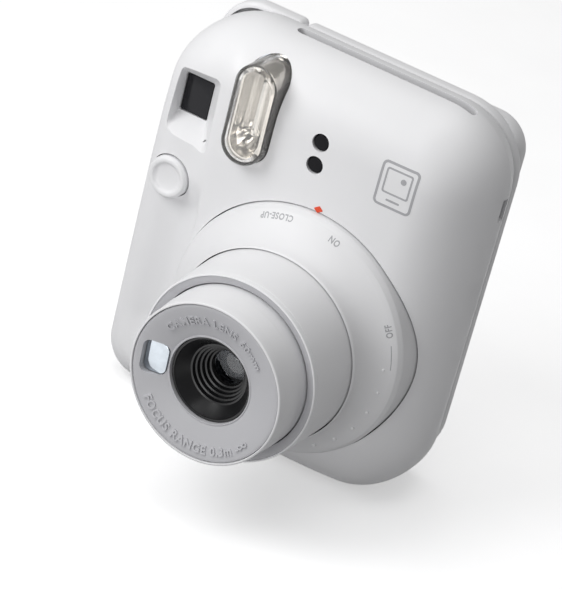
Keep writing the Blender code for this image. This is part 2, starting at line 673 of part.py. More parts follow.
def middle_barrel():
    front, lip = MID_OUT, FRONT_R + RUN
    turned("middle_barrel", "white",
           [(lip, front - 0.9), (MID_FRONT_R - 0.8, front - 0.7), (MID_FRONT_R - 0.5, front),
            (MID_FRONT_R, front - 0.5), (MID_R, 0.0), (MID_R, -MID_BACK_D), (MID_R - MID_WALL, -MID_BACK_D),
            (MID_FRONT_R - MID_WALL, front - 3.4), (lip, front - 2.4)], lens_spot(), FORWARD)


def front_barrel():
    front = LENS_OUT - FACE_LIP
    bore_r = FACE_R - FRONT_WALL
    turned("front_barrel", "white",
           [(bore_r, front - 1.2), (FACE_R - 0.5, front), (FACE_R, front - 0.5), (FRONT_R, front - 9.0),
            (FRONT_R, -FRONT_BACK_D), (bore_r, -FRONT_BACK_D)], lens_spot(), FORWARD)
    rim = bore_r - GAP
    face = turned("lens_face", "grey",
                  [(HOLE_R, LENS_OUT - DISH), (rim - 0.6, LENS_OUT - 0.7), (rim, LENS_OUT - 1.0),
                   (rim, LENS_OUT - 4.4), (HOLE_R, LENS_OUT - 5.4)], lens_spot(), FORWARD)
    turn = math.radians(MIRROR_ANGLE)
    x, z = LENS_RIGHT + MIRROR_AT * math.cos(turn), LENS_UP + MIRROR_AT * math.sin(turn)
    pocket = MIRROR_W + 2 * GAP
    boolean(face, block("cut_mirror", None, x, z, pocket, pocket, -LENS_OUT - 3.0, -LENS_OUT + 3.1, 0.6))
    block("selfie_mirror", "mirror", x, z, MIRROR_W, MIRROR_W, -LENS_OUT + 1.7, -LENS_OUT + 2.8, 0.3)
    lens_inside(rim)


def lens_inside(rim):
    top, wide = LENS_OUT - DISH - 1.3, HOLE_R - GAP
    seat = top - 10.6
    turned("lens_well", "black",
           [(wide, top), (wide, top - 5.6), (HOLE_R + 1.0, top - 5.6), (HOLE_R + 1.0, seat - 4.0),
            (GLASS_R + GAP, seat - 4.0), (GLASS_R + GAP, seat), (GLASS_R - 1.5, seat), (GLASS_R - 1.5, seat + 1.6),
            (wide - 2.7, seat + 4.4), (wide - 1.1, top)], lens_spot(), FORWARD)
    glass = seat - GAP
    turned("front_lens", "clear",
           [(0.0, glass), (GLASS_R * 0.5, glass - 0.3), (GLASS_R * 0.75, glass - 0.8), (GLASS_R, glass - 1.6),
            (GLASS_R, glass - 2.8), (0.0, glass - 2.8)], lens_spot(), FORWARD, 24)
    pipe("shutter_plate", "black", rim, APERTURE_R, SHUTTER_AT, SHUTTER_AT + 1.6, lens_spot(), FORWARD, 28)
    pipe("lens_cell", "black", rim, GLASS_R, 3.0, 6.6, lens_spot(), FORWARD, 28)
    disc("rear_lens", "clear", GLASS_R - GAP, 3.4, 6.2, lens_spot(), FORWARD, edge=0.5)


def shutter_blades():
    """Two blades that meet over the aperture and swing apart round their pivots."""
    for layer, (name, side) in enumerate((("shutter_blade_left", -1.0), ("shutter_blade_right", 1.0))):
        pivot = (LENS_RIGHT + side * BLADE_PIVOT, LENS_UP + BLADE_PIVOT_UP)
        front = -SHUTTER_AT + BLADE_GAP + layer * (BLADE_T + BLADE_GAP)
        blade = plate(name, "black", blade_outline(pivot, side), front, front + BLADE_T)
        set_origin(blade, (pivot[0], depth(front + BLADE_T / 2), pivot[1]))


def blade_outline(pivot, side):
    """A round cover over the aperture, with a neck to a round boss at the pivot."""
    cover = APERTURE_R + 0.9
    towards = math.atan2(BLADE_PIVOT_UP, BLADE_PIVOT)
    out = []
    for i in range(15):
        angle = towards + math.radians(25.0 + 310.0 * i / 14.0)
        out.append((LENS_RIGHT + side * cover * math.cos(angle), LENS_UP + cover * math.sin(angle)))
    for i in range(5):
        angle = towards + math.radians(-90.0 + 45.0 * i)
        out.append((pivot[0] + side * 2.0 * math.cos(angle), pivot[1] + 2.0 * math.sin(angle)))
    return out


def guide_and_baffle():
    outer, flange = NECK_R + GUIDE_WALL, RING_R - 2.2
    turned("lens_guide", "black",
           [(NECK_R, -11.0), (outer, -11.0), (outer, -22.0), (flange, -22.0), (flange, -24.0),
            (NECK_R, -24.0)], lens_spot(), FORWARD)
    (front, back), (small, wide) = BAFFLE_D, BAFFLE_R
    turned("light_baffle", "black",
           [(small - 1.2, -front), (small, -front), (wide, -back), (wide - 1.2, -back)],
           lens_spot(), FORWARD, 28)


# ---- film chamber, rollers and drive ---------------------------------------------------------------
ROLLER_D = (FILM_D - FILM_T / 2 - ROLLER_R, FILM_D + FILM_T / 2 + ROLLER_R)


def chamber_frame():
    left, right = CHAMBER_X
    wall = CHAMBER_WALL
    obj = box("chamber_frame", "black", (left - wall, depth(CHAMBER_D - 1.2), CHAMBER_LOW - wall),
              (right + wall, depth(SEAM_D - GAP), CHAMBER_TOP + wall))
    for side, x in (("left", left - wall), ("right", right)):
        cheek = box(f"join_cheek_{side}", None, (x, depth(ROLLER_D[0] - 3.6), CHAMBER_TOP - 4.0),
                    (x + wall, depth(SEAM_D - GAP), ROLLER_Z + 6.0))
        boolean(obj, cheek, "UNION")
    cuts = [
        box("cut_pack", None, (left, depth(CHAMBER_D), CHAMBER_LOW), (right, depth(SEAM_D + 3.0), CHAMBER_TOP)),
        box("cut_gate", None, (LENS_RIGHT - IMAGE_W / 2, depth(CHAMBER_D - 6.0), LENS_UP - IMAGE_H / 2),
            (LENS_RIGHT + IMAGE_W / 2, depth(CHAMBER_D + 2.0), LENS_UP + IMAGE_H / 2)),
        box("cut_film_exit", None, (left + 1.0, depth(FILM_D - 1.0), CHAMBER_TOP - 3.0),
            (right - 1.0, depth(FILM_D + 2.0), CHAMBER_TOP + 6.0)),
        box("cut_claw", None, (left - wall - 2.0, depth(CLAW_D - 1.0 - RUN), CLAW_Z - 6.0),
            (left + 2.0, depth(CLAW_D + 1.0 + RUN), CLAW_Z + CLAW_TRAVEL + 6.0)),
    ]
    for i, d in enumerate(ROLLER_D):
        cuts.append(turned(f"cut_shaft_{i}", None, cylinder(SHAFT_R + 0.2, left - 6.0, right + 6.0),
                           (0.0, depth(d), ROLLER_Z), SIDEWAYS, SMALL_STEPS))
    for cutter in cuts:
        boolean(obj, cutter)


def gear_centre():
    """The idler's (depth, z), in mesh with both the pinion and the front roller's gear."""
    px, pz = MOTOR_D, MOTOR_Z
    rx, rz = ROLLER_D[0], ROLLER_Z
    to_pinion = MODULE * (TEETH_PINION + TEETH_IDLER) / 2.0
    to_roller = MODULE * (TEETH_ROLLER + TEETH_IDLER) / 2.0
    span = math.hypot(rx - px, rz - pz)
    along = (to_pinion ** 2 - to_roller ** 2 + span ** 2) / (2.0 * span)
    aside = math.sqrt(to_pinion ** 2 - along ** 2)
    ux, uz = (rx - px) / span, (rz - pz) / span
    return px + along * ux + aside * uz, pz + along * uz - aside * ux


def gear(name, look, teeth, centre, bore_r, phase):
    """A spur gear across X, with one tooth's middle at the phase angle (0 = back, 90 deg = up)."""
    pitch = MODULE * teeth / 2.0
    tip, root = pitch + 0.75 * MODULE, pitch - 1.05 * MODULE
    step = 2.0 * math.pi / teeth
    bm = bmesh.new()
    outline = []
    for i in range(teeth):
        middle = phase + i * step
        for r, offset in ((root, -0.33), (tip, -0.13), (tip, 0.13), (root, 0.33)):
            angle = middle + offset * step
            outline.append((r * math.cos(angle), r * math.sin(angle)))
    face = bm.faces.new([bm.verts.new((-GEAR_T / 2, y, z)) for y, z in outline])
    made = bmesh.ops.extrude_face_region(bm, geom=[face])
    bmesh.ops.translate(bm, vec=(GEAR_T, 0.0, 0.0),
                        verts=[v for v in made["geom"] if isinstance(v, bmesh.types.BMVert)])
    bmesh.ops.recalc_face_normals(bm, faces=bm.faces)
    x = GEAR_X + GEAR_T / 2
    obj = make_object(name, bm, look, (x, depth(centre[0]), centre[1]))
    boolean(obj, turned(f"cut_{name}", None, cylinder(bore_r, -GEAR_T, GEAR_T),
                        (x, depth(centre[0]), centre[1]), SIDEWAYS, 12))


def mesh_phase(teeth, from_centre, from_phase, from_teeth, centre):
    """The phase that puts a gap of this gear where the other gear has its tooth."""
    away = math.atan2(centre[1] - from_centre[1], centre[0] - from_centre[0])
    step_from = 2.0 * math.pi / from_teeth
    lead = (away - from_phase) / step_from
    offset = (lead - round(lead)) * 2.0 * math.pi / teeth
    return away + math.pi + math.pi / teeth + offset


def rollers_and_gears():
    shaft_end = GEAR_X + GEAR_T
    for name, d in zip(("film_roller_front", "film_roller_rear"), ROLLER_D):
        half = ROLLER_L / 2
        low, high = -half, half
        turned(name, "rubber",
               [(0.0, shaft_end - LENS_RIGHT), (SHAFT_R, shaft_end - LENS_RIGHT), (SHAFT_R, high),
                (ROLLER_R, high), (ROLLER_R, low), (SHAFT_R, low),
                (SHAFT_R, low - 3.0), (0.0, low - 3.0)],
               (LENS_RIGHT, depth(d), ROLLER_Z), SIDEWAYS, SMALL_STEPS)
    front, rear = ((d, ROLLER_Z) for d in ROLLER_D)
    idler, pinion = gear_centre(), (MOTOR_D, MOTOR_Z)
    start = 0.0
    gear("roller_gear_front", "nylon", TEETH_ROLLER, front, SHAFT_R + 0.15, start)
    gear("roller_gear_rear", "nylon", TEETH_ROLLER, rear, SHAFT_R + 0.15,
         mesh_phase(TEETH_ROLLER, front, start, TEETH_ROLLER, rear))
    idler_phase = mesh_phase(TEETH_IDLER, front, start, TEETH_ROLLER, idler)
    gear("idler_gear", "nylon", TEETH_IDLER, idler, SHAFT_R + 0.2, idler_phase)
    gear("drive_pinion", "steel", TEETH_PINION, pinion, 0.8,
         mesh_phase(TEETH_PINION, idler, idler_phase, TEETH_IDLER, pinion))
    disc("idler_pin", "steel", SHAFT_R, -GEAR_T / 2 - 0.2, GEAR_T / 2 + 1.0,
         (GEAR_X + GEAR_T / 2, depth(idler[0]), idler[1]), SIDEWAYS, steps=12)
    turned("drive_motor", "steel",
           [(0.0, MOTOR_L / 2 + GEAR_X + 2.4 - MOTOR_END), (0.65, MOTOR_L / 2 + GEAR_X + 2.4 - MOTOR_END),
            (0.65, MOTOR_L / 2), (MOTOR_R, MOTOR_L / 2), (MOTOR_R, -MOTOR_L / 2), (0.0, -MOTOR_L / 2)],
           (MOTOR_END - MOTOR_L / 2, depth(MOTOR_D), MOTOR_Z), SIDEWAYS, SMALL_STEPS)


def film_claw():
    left = CHAMBER_X[0]
    block("film_claw", "steel", left - 0.9, CLAW_Z, 3.0, 8.0, CLAW_D - 1.0, CLAW_D + 1.0, 0.2)


# ---- power, electronics and counter ----------------------------------------------------------------
def electronics():
    box("circuit_board", "board", (-8.0, depth(BOARD_D), 86.0), (38.0, depth(BOARD_D + 1.2), 104.0))
    disc("flash_capacitor", "black", MOTOR_R, -11.0, 11.0, (2.0, depth(MOTOR_D), MOTOR_Z), SIDEWAYS, edge=0.4)
    for name, x, d in CELLS:
        turned(f"cell_{name}", "cell",
               [(0.0, CELL_L), (2.6, CELL_L), (2.6, CELL_L - 1.2), (CELL_R - 0.5, CELL_L - 1.2),
                (CELL_R, CELL_L - 1.8), (CELL_R, 0.5), (CELL_R - 0.5, 0.0), (0.0, 0.0)],
               (x, depth(d), CELL_Z), UPRIGHT, SMALL_STEPS)
    (_, x0, d0), (_, x1, d1) = CELLS
    reach = 4.6
    for name, z in (("contact_lower", CELL_Z - GAP - CONTACT_T), ("contact_upper", CELL_Z + CELL_L + GAP)):
        outline = [(x0 - reach, d0 - 2.0), (x0 + 2.0, d0 - reach), (x1 + reach, d1 - 1.0),
                   (x1 + 1.0, d1 + reach), (x1 - 3.0, d1 + reach), (x0 - reach, d0 + 3.0)]
        bm = bmesh.new()
        face = bm.faces.new([bm.verts.new((px, depth(pd), z)) for px, pd in outline])
        made = bmesh.ops.extrude_face_region(bm, geom=[face])
        bmesh.ops.translate(bm, vec=(0.0, 0.0, CONTACT_T),
                            verts=[v for v in made["geom"] if isinstance(v, bmesh.types.BMVert)])
        bmesh.ops.recalc_face_normals(bm, faces=bm.faces)
        make_object(name, bm, "steel")
    spot = (COUNTER_X, depth(0.0), COUNTER_Z)
    disc("counter_window", "clear", COUNTER_WINDOW_R, -BACK_D + 0.2, -BACK_D + 1.2, spot, FORWARD)
    disc("counter_wheel", "nylon", COUNTER_R, -BACK_D + 2.4, -BACK_D + 3.4,
         (COUNTER_X + COUNTER_OFF, depth(0.0), COUNTER_Z), FORWARD)


def main():
    front_housing()
    rear_cover()
    film_door()
    battery_door()
    feet_and_strap()
    exit_trim()
    viewfinder()
    flash()
    sensors()
    button()
    twist_ring()
    middle_barrel()
    front_barrel()
    shutter_blades()
    guide_and_baffle()
    chamber_frame()
    rollers_and_gears()
    film_claw()
    electronics()


clear_scene()
PARTS = collection(NAME)
CUTTERS = collection("cutters")
main()
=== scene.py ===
import math

import bmesh
import bpy
import numpy as np
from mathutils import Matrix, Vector


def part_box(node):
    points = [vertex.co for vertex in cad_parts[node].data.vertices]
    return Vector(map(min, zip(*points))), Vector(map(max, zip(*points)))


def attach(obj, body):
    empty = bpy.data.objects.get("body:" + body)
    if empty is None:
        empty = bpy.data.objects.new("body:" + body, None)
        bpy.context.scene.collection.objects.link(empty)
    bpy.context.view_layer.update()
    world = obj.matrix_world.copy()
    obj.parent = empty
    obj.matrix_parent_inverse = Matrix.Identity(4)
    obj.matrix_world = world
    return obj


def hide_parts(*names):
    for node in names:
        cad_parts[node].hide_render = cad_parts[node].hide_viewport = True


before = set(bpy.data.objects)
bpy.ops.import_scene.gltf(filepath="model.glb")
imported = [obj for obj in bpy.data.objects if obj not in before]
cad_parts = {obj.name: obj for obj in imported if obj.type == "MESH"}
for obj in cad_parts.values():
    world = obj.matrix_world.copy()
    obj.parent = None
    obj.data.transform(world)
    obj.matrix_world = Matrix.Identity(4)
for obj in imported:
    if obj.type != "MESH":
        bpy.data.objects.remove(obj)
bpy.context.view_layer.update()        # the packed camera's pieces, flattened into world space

bl_info = {
    "name": "Instant Camera Finish",
    "version": (1, 0, 0),
    "blender": (4, 5, 0),
    "location": "3D Viewport > Sidebar > Instant Camera",
    "description": "Builds the finished surfaces of an instant camera round its frame",
    "category": "Object",
}

MM = 0.001
GAP = 0.3                        # between pieces that touch, in millimetres like every size here
SMOOTH_ANGLE = math.radians(32.0)

# ---- the housing, as the frame has it ------------------------------------------------------------
BODY_W, BODY_H, FOOT_H = 103.95, 121.15, 0.8     # a hair inside the frame's box
BODY_MID_Z = FOOT_H + BODY_H / 2.0
BODY_TOP = FOOT_H + BODY_H
CORNERS = {"top_left": 24.0, "top_right": 22.0, "bottom_left": 12.0, "bottom_right": 20.0}
ROLL = {"left": (10.0, 10.0), "right": (22.0, 22.0), "top": (20.0, 20.0), "bottom": (9.0, 9.0)}
LENS_X, LENS_Z = 8.0, 45.0
NECK_Y = -12.95                  # the neck of the twist ring; depths are counted back from it
FACE_D, SEAM_D, BACK_D = 15.0, 44.0, 50.0
CROWN, GRIP_FALL = 2.4, 1.6
GRIP_EDGE_X = -31.0
REAR_TAPER_D, SEAM_INSET = 36.0, 2.0
STEP_X, STEP_TOP_Z, STEP_LOW_Z = -29.3, 75.0, 10.0
RING_R, NECK_R = 37.5, 28.7
LENS_OUT, MID_OUT = 32.4, 19.5
FLASH_X, FLASH_Z, FLASH_W, FLASH_H = -18.8, 102.4, 13.2, 30.6
FLASH_FRONT_D, FLASH_BACK_D = 10.8, 24.6
FINDER_X, FINDER_Z, FINDER_W, FINDER_H, FINDER_D = -41.3, 95.0, 8.8, 11.4, 24.0
BUTTON_X, BUTTON_Z, BUTTON_R = -41.2, 71.0, 6.4
SENSOR_X, SENSOR_Z, SENSOR_R = 2.8, (102.4, 95.5), 2.5
SLOT_D, SLOT_L, SLOT_T = 35.5, 56.0, 2.5
STRAP_Z = 96.5
DOOR_LEFT_X, DOOR_FRONT_D = -23.9, 44.3
HUMP_LOW_Z, HUMP_HIGH_Z, HUMP_RIGHT, HUMP_D = 95.0, 117.0, 48.0, 55.5
EYECUP_X, EYECUP_Z = -36.4, 104.0
COUNTER_X, COUNTER_Z = -38.5, 77.0
PACK_WINDOW = (34.0, 53.0)       # middle of the window over the film pack
BATTERY_DOOR_RIGHT, BATTERY_DOOR_LOW, BATTERY_DOOR_HIGH = -26.5, 7.6, 64.4
FEET = ((-38.0, 27.4), (29.0, 27.4), (-38.0, 37.0), (29.0, 37.0))   # x and depth of each


def depth(value):
    """World y, in millimetres, of a depth behind the ring's neck."""
    return value + NECK_Y


# ---- settings ------------------------------------------------------------------------------------
def colour_setting(name, text, value):
    return bpy.props.FloatVectorProperty(name=name, description=text, subtype="COLOR", size=3,
                                         min=0.0, max=1.0, default=value)


def length_setting(name, text, value):
    """A length, stored in metres; its value is given in millimetres."""
    return bpy.props.FloatProperty(name=name, description=text, subtype="DISTANCE", unit="LENGTH",
                                   min=0.0, precision=5, default=value * MM)


def count_setting(name, text, value):
    return bpy.props.IntProperty(name=name, description=text, min=1, default=value)


class HousingSettings(bpy.types.PropertyGroup):
    """Sizes and colours of the moulded housing."""
    plastic: colour_setting("Plastic", "Colour of the moulded housing", (0.86, 0.86, 0.872))
    grey: colour_setting("Grey", "Colour of the grey lens face", (0.56, 0.56, 0.582))
    columns: count_setting("Columns", "Steps round the front housing", 320)
    rows: count_setting("Rows", "Steps from the lens out to the seam", 84)
    wall: length_setting("Wall", "Wall thickness of the front housing", 2.0)
    hollow: length_setting("Finger hollow", "Depth of the hollow beside the lens", 3.4)
    mark: colour_setting("Marker", "Colour of the setting marker", (0.80, 0.075, 0.02))
    print: colour_setting("Print", "Colour of the printed labels", (0.42, 0.42, 0.44))


class LensSettings(bpy.types.PropertyGroup):
    """Sizes of the ring, the barrels and the lens."""
    steps: count_setting("Steps", "Steps round the turned pieces", 192)
    letter: length_setting("Letter height", "Height of a line of raised letters", 3.3)
    relief: length_setting("Relief", "How far the letters stand up", 0.5)
    dots: count_setting("Setting dots", "Raised dots on the twist ring", 6)
    well_rings: count_setting("Well rings", "Baffle rings inside the lens well", 5)


class FlashSettings(bpy.types.PropertyGroup):
    """Sizes of the flash window."""
    ribs: count_setting("Ribs", "Light-spreading ribs behind the window", 26)
    rib_height: length_setting("Rib height", "How far each rib stands up", 0.4)
    wall: length_setting("Wall", "Thickness of the clear cover", 1.2)


class StageSettings(bpy.types.PropertyGroup):
    """Floor, lights and camera."""
    floor: colour_setting("Floor", "Colour of the floor", (0.93, 0.93, 0.935))
    bounce: colour_setting("Floor bounce", "Colour of the light that the floor throws back",
                           (0.30, 0.30, 0.305))
    key: bpy.props.FloatProperty(name="Key light", description="Power of the key light, in watts",
                                 min=0.0, default=0.88)
    front: bpy.props.FloatProperty(name="Front light", min=0.0, default=2.5,
                                   description="Power of the soft light in front, in watts")
    top: bpy.props.FloatProperty(name="Top light", description="Power of the light overhead, in watts",
                                 min=0.0, default=10.0)
    fill: bpy.props.FloatProperty(name="Surroundings", description="Strength of the even light",
                                  min=0.0, default=0.24)
    lens: bpy.props.FloatProperty(name="Camera lens", description="Focal length in millimetres",
                                  min=1.0, default=183.4)


# ---- meshes --------------------------------------------------------------------------------------
def link(name, mesh):
    obj = bpy.data.objects.new(name, mesh)
    bpy.context.scene.collection.objects.link(obj)
    return obj


def mesh_piece(name, points, faces):
    """A mesh object from points in millimetres."""
    mesh = bpy.data.meshes.new(name)
    mesh.from_pydata((np.array(points, float).reshape(-1, 3) * MM).tolist(), [], faces)
    mesh.validate()
    return link(name, mesh)


def outward(obj):
    """Make a closed mesh's faces point outwards."""
    bm = bmesh.new()
    bm.from_mesh(obj.data)
    bmesh.ops.remove_doubles(bm, verts=bm.verts, dist=1e-7)
    bmesh.ops.recalc_face_normals(bm, faces=bm.faces)
    bm.to_mesh(obj.data)
    bm.free()
    return obj


def baked(obj):
    """Put an object's evaluated mesh in place of its own and drop its modifiers."""
    bpy.context.view_layer.update()
    graph = bpy.context.evaluated_depsgraph_get()
    mesh = bpy.data.meshes.new_from_object(obj.evaluated_get(graph))
    obj.modifiers.clear()
    obj.data = mesh
    return obj


def discard(*objs):
    for obj in objs:
        bpy.data.objects.remove(obj, do_unlink=True)


def joined(name, objs):
    """One mesh object from several that sit at the origin."""
    bm = bmesh.new()
    for obj in objs:
        bm.from_mesh(obj.data)
    mesh = bpy.data.meshes.new(name)
    bm.to_mesh(mesh)
    bm.free()
    discard(*objs)
    return link(name, mesh)


def combined(obj, others, operation):
    """Cut or join other meshes in one step, then drop them."""
    group = bpy.data.collections.new("tools")
    for other in others:
        group.objects.link(other)
    mod = obj.modifiers.new("combine", "BOOLEAN")
    mod.operation = operation
    mod.solver = "EXACT"
    mod.operand_type = "COLLECTION"
    mod.collection = group
    baked(obj)
    discard(*others)
    bpy.data.collections.remove(group)
    return obj


def finished(obj, body, slot, material, *nodes, angle=SMOOTH_ANGLE):
    """Shade, paint and place one piece on its body, in place of the nodes it stands for."""
    obj.data.materials.clear()
    obj.data.materials.append(material)
    obj.data.polygons.foreach_set("material_index", np.zeros(len(obj.data.polygons), np.int32))
    obj.data.shade_smooth()
    obj.data.set_sharp_from_angle(angle=angle)
    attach(obj, body)
    if nodes:
        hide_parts(*nodes)
    return obj


# ---- outlines ------------------------------------------------------------------------------------
def filleted(points, closed=False, segments=6):
    """Round the corners of a line; each point is (a, b) or (a, b, radius)."""
    out = []
    count = len(points)
    for i, point in enumerate(points):
        radius = point[2] if len(point) > 2 else 0.0
        here = np.array(point[:2], float)
        if radius <= 0.0 or (not closed and i in (0, count - 1)):
            out.append(tuple(here))
            continue
        before = np.array(points[i - 1][:2], float) - here
        after = np.array(points[(i + 1) % count][:2], float) - here
        la, lb = np.linalg.norm(before), np.linalg.norm(after)
        before, after = before / la, after / lb
        half = math.acos(max(-1.0, min(1.0, float(before @ after)))) / 2.0
        if half > math.pi / 2.0 - 0.02:
            out.append(tuple(here))
            continue
        reach = min(radius / math.tan(half), 0.49 * la, 0.49 * lb)
        radius = reach * math.tan(half)
        middle = here + (before + after) / np.linalg.norm(before + after) * radius / math.sin(half)
        start, end = here + before * reach - middle, here + after * reach - middle
        swing = math.atan2(start[0] * end[1] - start[1] * end[0], float(start @ end))
        for k in range(segments + 1):
            angle = swing * k / segments
            turn = np.array([[math.cos(angle), -math.sin(angle)], [math.sin(angle), math.cos(angle)]])
            out.append(tuple(middle + turn @ start))
    return out


def stadium(width, height, middle, points=16):
    """(x, z) points of an upright slot shape round a middle."""
    r = min(width, height) / 2.0
    x, z = middle
    w, h = width / 2.0, height / 2.0
    return filleted([(x - w, z - h, r), (x + w, z - h, r), (x + w, z + h, r), (x - w, z + h, r)],
                    True, points)


def rounded_box(width, height, middle, radius, points=8):
    x, z = middle
    w, h = width / 2.0, height / 2.0
    return filleted([(x - w, z - h, radius), (x + w, z - h, radius), (x + w, z + h, radius),
                     (x - w, z + h, radius)], True, points)


def loft(name, outlines):
    """A closed piece through outlines of equally many (x, z) points, each with its depth."""
    points, faces = [], []
    count = len(outlines[0][0])
    for outline, level in outlines:
        levels = level if hasattr(level, "__len__") else [level] * count
        points += [(x, depth(d), z) for (x, z), d in zip(outline, levels)]
    for layer in range(len(outlines) - 1):
        for i in range(count):
            j = (i + 1) % count
            a, b = layer * count, (layer + 1) * count
            faces.append((a + i, a + j, b + j, b + i))
    faces.append(tuple(range(count)))
    last = (len(outlines) - 1) * count
    faces.append(tuple(last + i for i in reversed(range(count))))
    return outward(mesh_piece(name, points, faces))


def plate(name, outline, front, back, radius=0.0, segments=4):
    """An upright plate; its front and back edges are rounded by radius."""
    if not radius:
        return loft(name, [(outline, front), (outline, back)])
    layers = []
    for k in range(segments + 1):
        angle = math.pi / 2.0 * k / segments
        layers.append((inset_outline(outline, radius * (1.0 - math.sin(angle))),
                       front + radius * (1.0 - math.cos(angle))))
    layers += [(o, front + back - d) for o, d in reversed(layers)]
    return loft(name, layers)


def inset_outline(outline, amount):
    """Move a convex outline's points inwards, along the bisector of their neighbours."""
    pts = np.array(outline, float)
    tangent = np.roll(pts, -1, 0) - np.roll(pts, 1, 0)
    tangent /= np.linalg.norm(tangent, axis=1)[:, None]
    normal = np.stack([-tangent[:, 1], tangent[:, 0]], 1)
    if float(((pts.mean(0) - pts) * normal).sum()) < 0.0:
        normal = -normal
    return [tuple(p) for p in pts + normal * amount]


def turned(name, profile, steps, origin=None, axis=(0.0, -1.0, 0.0)):
    """A turned piece from (radius, height) points; heights run along the axis from the origin."""
    origin = np.array((LENS_X, depth(0.0), LENS_Z) if origin is None else origin, float)
    along = np.array(axis, float)
    side = np.array((1.0, 0.0, 0.0)) if abs(along[0]) < 0.5 else np.array((0.0, 1.0, 0.0))
    up = np.cross(along, side)
    points, faces, rings = [], [], []
    for r, h in profile:
        if r < 1e-6:
            rings.append([len(points)] * steps)
            points.append(origin + along * h)
            continue
        rings.append(list(range(len(points), len(points) + steps)))
        for k in range(steps):
            angle = 2.0 * math.pi * k / steps
            points.append(origin + along * h + r * (side * math.cos(angle) + up * math.sin(angle)))
    pairs = list(zip(rings, rings[1:]))
    if profile[0][0] > 1e-6 and profile[-1][0] > 1e-6:
        pairs.append((rings[-1], rings[0]))
    for a, b in pairs:
        for k in range(steps):
            j = (k + 1) % steps
            face = []
            for v in (a[k], a[j], b[j], b[k]):
                if v not in face:
                    face.append(v)
            if len(face) > 2:
                faces.append(tuple(face))
    return outward(mesh_piece(name, points, faces))


# ---- the housing's surface -----------------------------------------------------------------------
def smooth(value):
    value = np.clip(value, 0.0, 1.0)
    return value * value * (3.0 - 2.0 * value)


def outline_distance(x, z):
    """Distance inside (negative) or outside the housing's outline, seen from the front."""
    top = np.where(x < 0.0, CORNERS["top_left"], CORNERS["top_right"])
    low = np.where(x < 0.0, CORNERS["bottom_left"], CORNERS["bottom_right"])
    radius = np.where(z > BODY_MID_Z, top, low)
    qx = np.abs(x) - BODY_W / 2.0 + radius
    qz = np.abs(z - BODY_MID_Z) - BODY_H / 2.0 + radius
    return np.hypot(np.maximum(qx, 0.0), np.maximum(qz, 0.0)) + np.minimum(np.maximum(qx, qz), 0.0) - radius


def ray_to_inset(angle, insets):
    """How far from the lens axis a ray meets the outline drawn in by each inset."""
    insets = np.atleast_1d(np.array(insets, float))
    low, high = np.zeros(len(insets)), np.full(len(insets), BODY_W + BODY_H)
    for _ in range(44):
        mid = (low + high) / 2.0
        inside = outline_distance(LENS_X + mid * math.cos(angle), LENS_Z + mid * math.sin(angle)) < -insets
        low, high = np.where(inside, mid, low), np.where(inside, high, mid)
    return low


def roll_at(x, z):
    """The roll-over's reach and depth near a point, blended between the four sides."""
    dx, dz = x / (BODY_W / 2.0), (z - BODY_MID_Z) / (BODY_H / 2.0)
    weights = {"left": max(-dx, 0.0) ** 4, "right": max(dx, 0.0) ** 4,
               "top": max(dz, 0.0) ** 4, "bottom": max(-dz, 0.0) ** 4}
    total = sum(weights.values()) + 1e-9
    return [sum(weights[k] * ROLL[k][n] for k in ROLL) / total for n in (0, 1)]


def face_depth(x, z, hollow):
    """Depth of the crowned face, with the finger hollow beside the lens and its crisp step."""
    dx, dz = x / (BODY_W / 2.0), (z - BODY_MID_Z) / (BODY_H / 2.0)
    grip = smooth((GRIP_EDGE_X - x) / 9.0 + 0.35)
    step = smooth((STEP_X - x) / 1.8 + 0.5)
    step = step * smooth((STEP_TOP_Z - z) / 13.0) * smooth((z - STEP_LOW_Z) / 16.0)
    dip = hollow * step * smooth((x + 51.0) / 19.0)
    return FACE_D + CROWN * (0.5 * dx * dx + 0.5 * dz * dz) + GRIP_FALL * grip + dip


def housing_line(angle, rows, hollow):
    """Evenly spaced points from the twist ring's hole out to the seam, along one ray."""
    cos, sin = math.cos(angle), math.sin(angle)
    start = RING_R - 1.0
    edge = float(ray_to_inset(angle, 0.0)[0])
    reach, fall = roll_at(LENS_X + edge * cos, LENS_Z + edge * sin)
    turn = np.linspace(0.0, math.pi / 2.0, 60)
    radii = ray_to_inset(angle, reach * (1.0 - np.sin(turn)))
    flat = np.linspace(start, radii[0], 70, endpoint=False) if radii[0] > start else np.zeros(0)
    keep = radii >= start
    r = np.concatenate([flat, radii[keep]])
    drop = np.concatenate([np.zeros(len(flat)), fall * (1.0 - np.cos(turn[keep]))])
    x, z = LENS_X + r * cos, LENS_Z + r * sin
    d = face_depth(x, z, hollow) + drop
    side = np.linspace(d[-1], SEAM_D, 20)[1:]
    inset = SEAM_INSET * np.maximum(0.0, (side - REAR_TAPER_D) / (SEAM_D - REAR_TAPER_D)) ** 2
    r = np.concatenate([r, ray_to_inset(angle, inset)])
    d = np.concatenate([d, side])
    points = np.stack([LENS_X + r * cos, depth(d), LENS_Z + r * sin], 1)
    along = np.concatenate([[0.0], np.cumsum(np.linalg.norm(np.diff(points, axis=0), axis=1))])
    want = np.linspace(0.0, along[-1], rows)
    return np.stack([np.interp(want, along, points[:, n]) for n in range(3)], 1)


def surface_depth(x, z, hollow=0.0):
    """Depth of the finished front surface at a point, roll-over included."""
    edge_angle = math.atan2(z - LENS_Z, x - LENS_X)
    edge = float(ray_to_inset(edge_angle, 0.0)[0])
    reach, fall = roll_at(LENS_X + edge * math.cos(edge_angle), LENS_Z + edge * math.sin(edge_angle))
    inset = -float(outline_distance(np.array(x), np.array(z)))
    part = min(max(1.0 - inset / reach, 0.0), 1.0)
    return float(face_depth(np.array(x), np.array(z), hollow)) + fall * (1.0 - math.sqrt(1.0 - part * part))


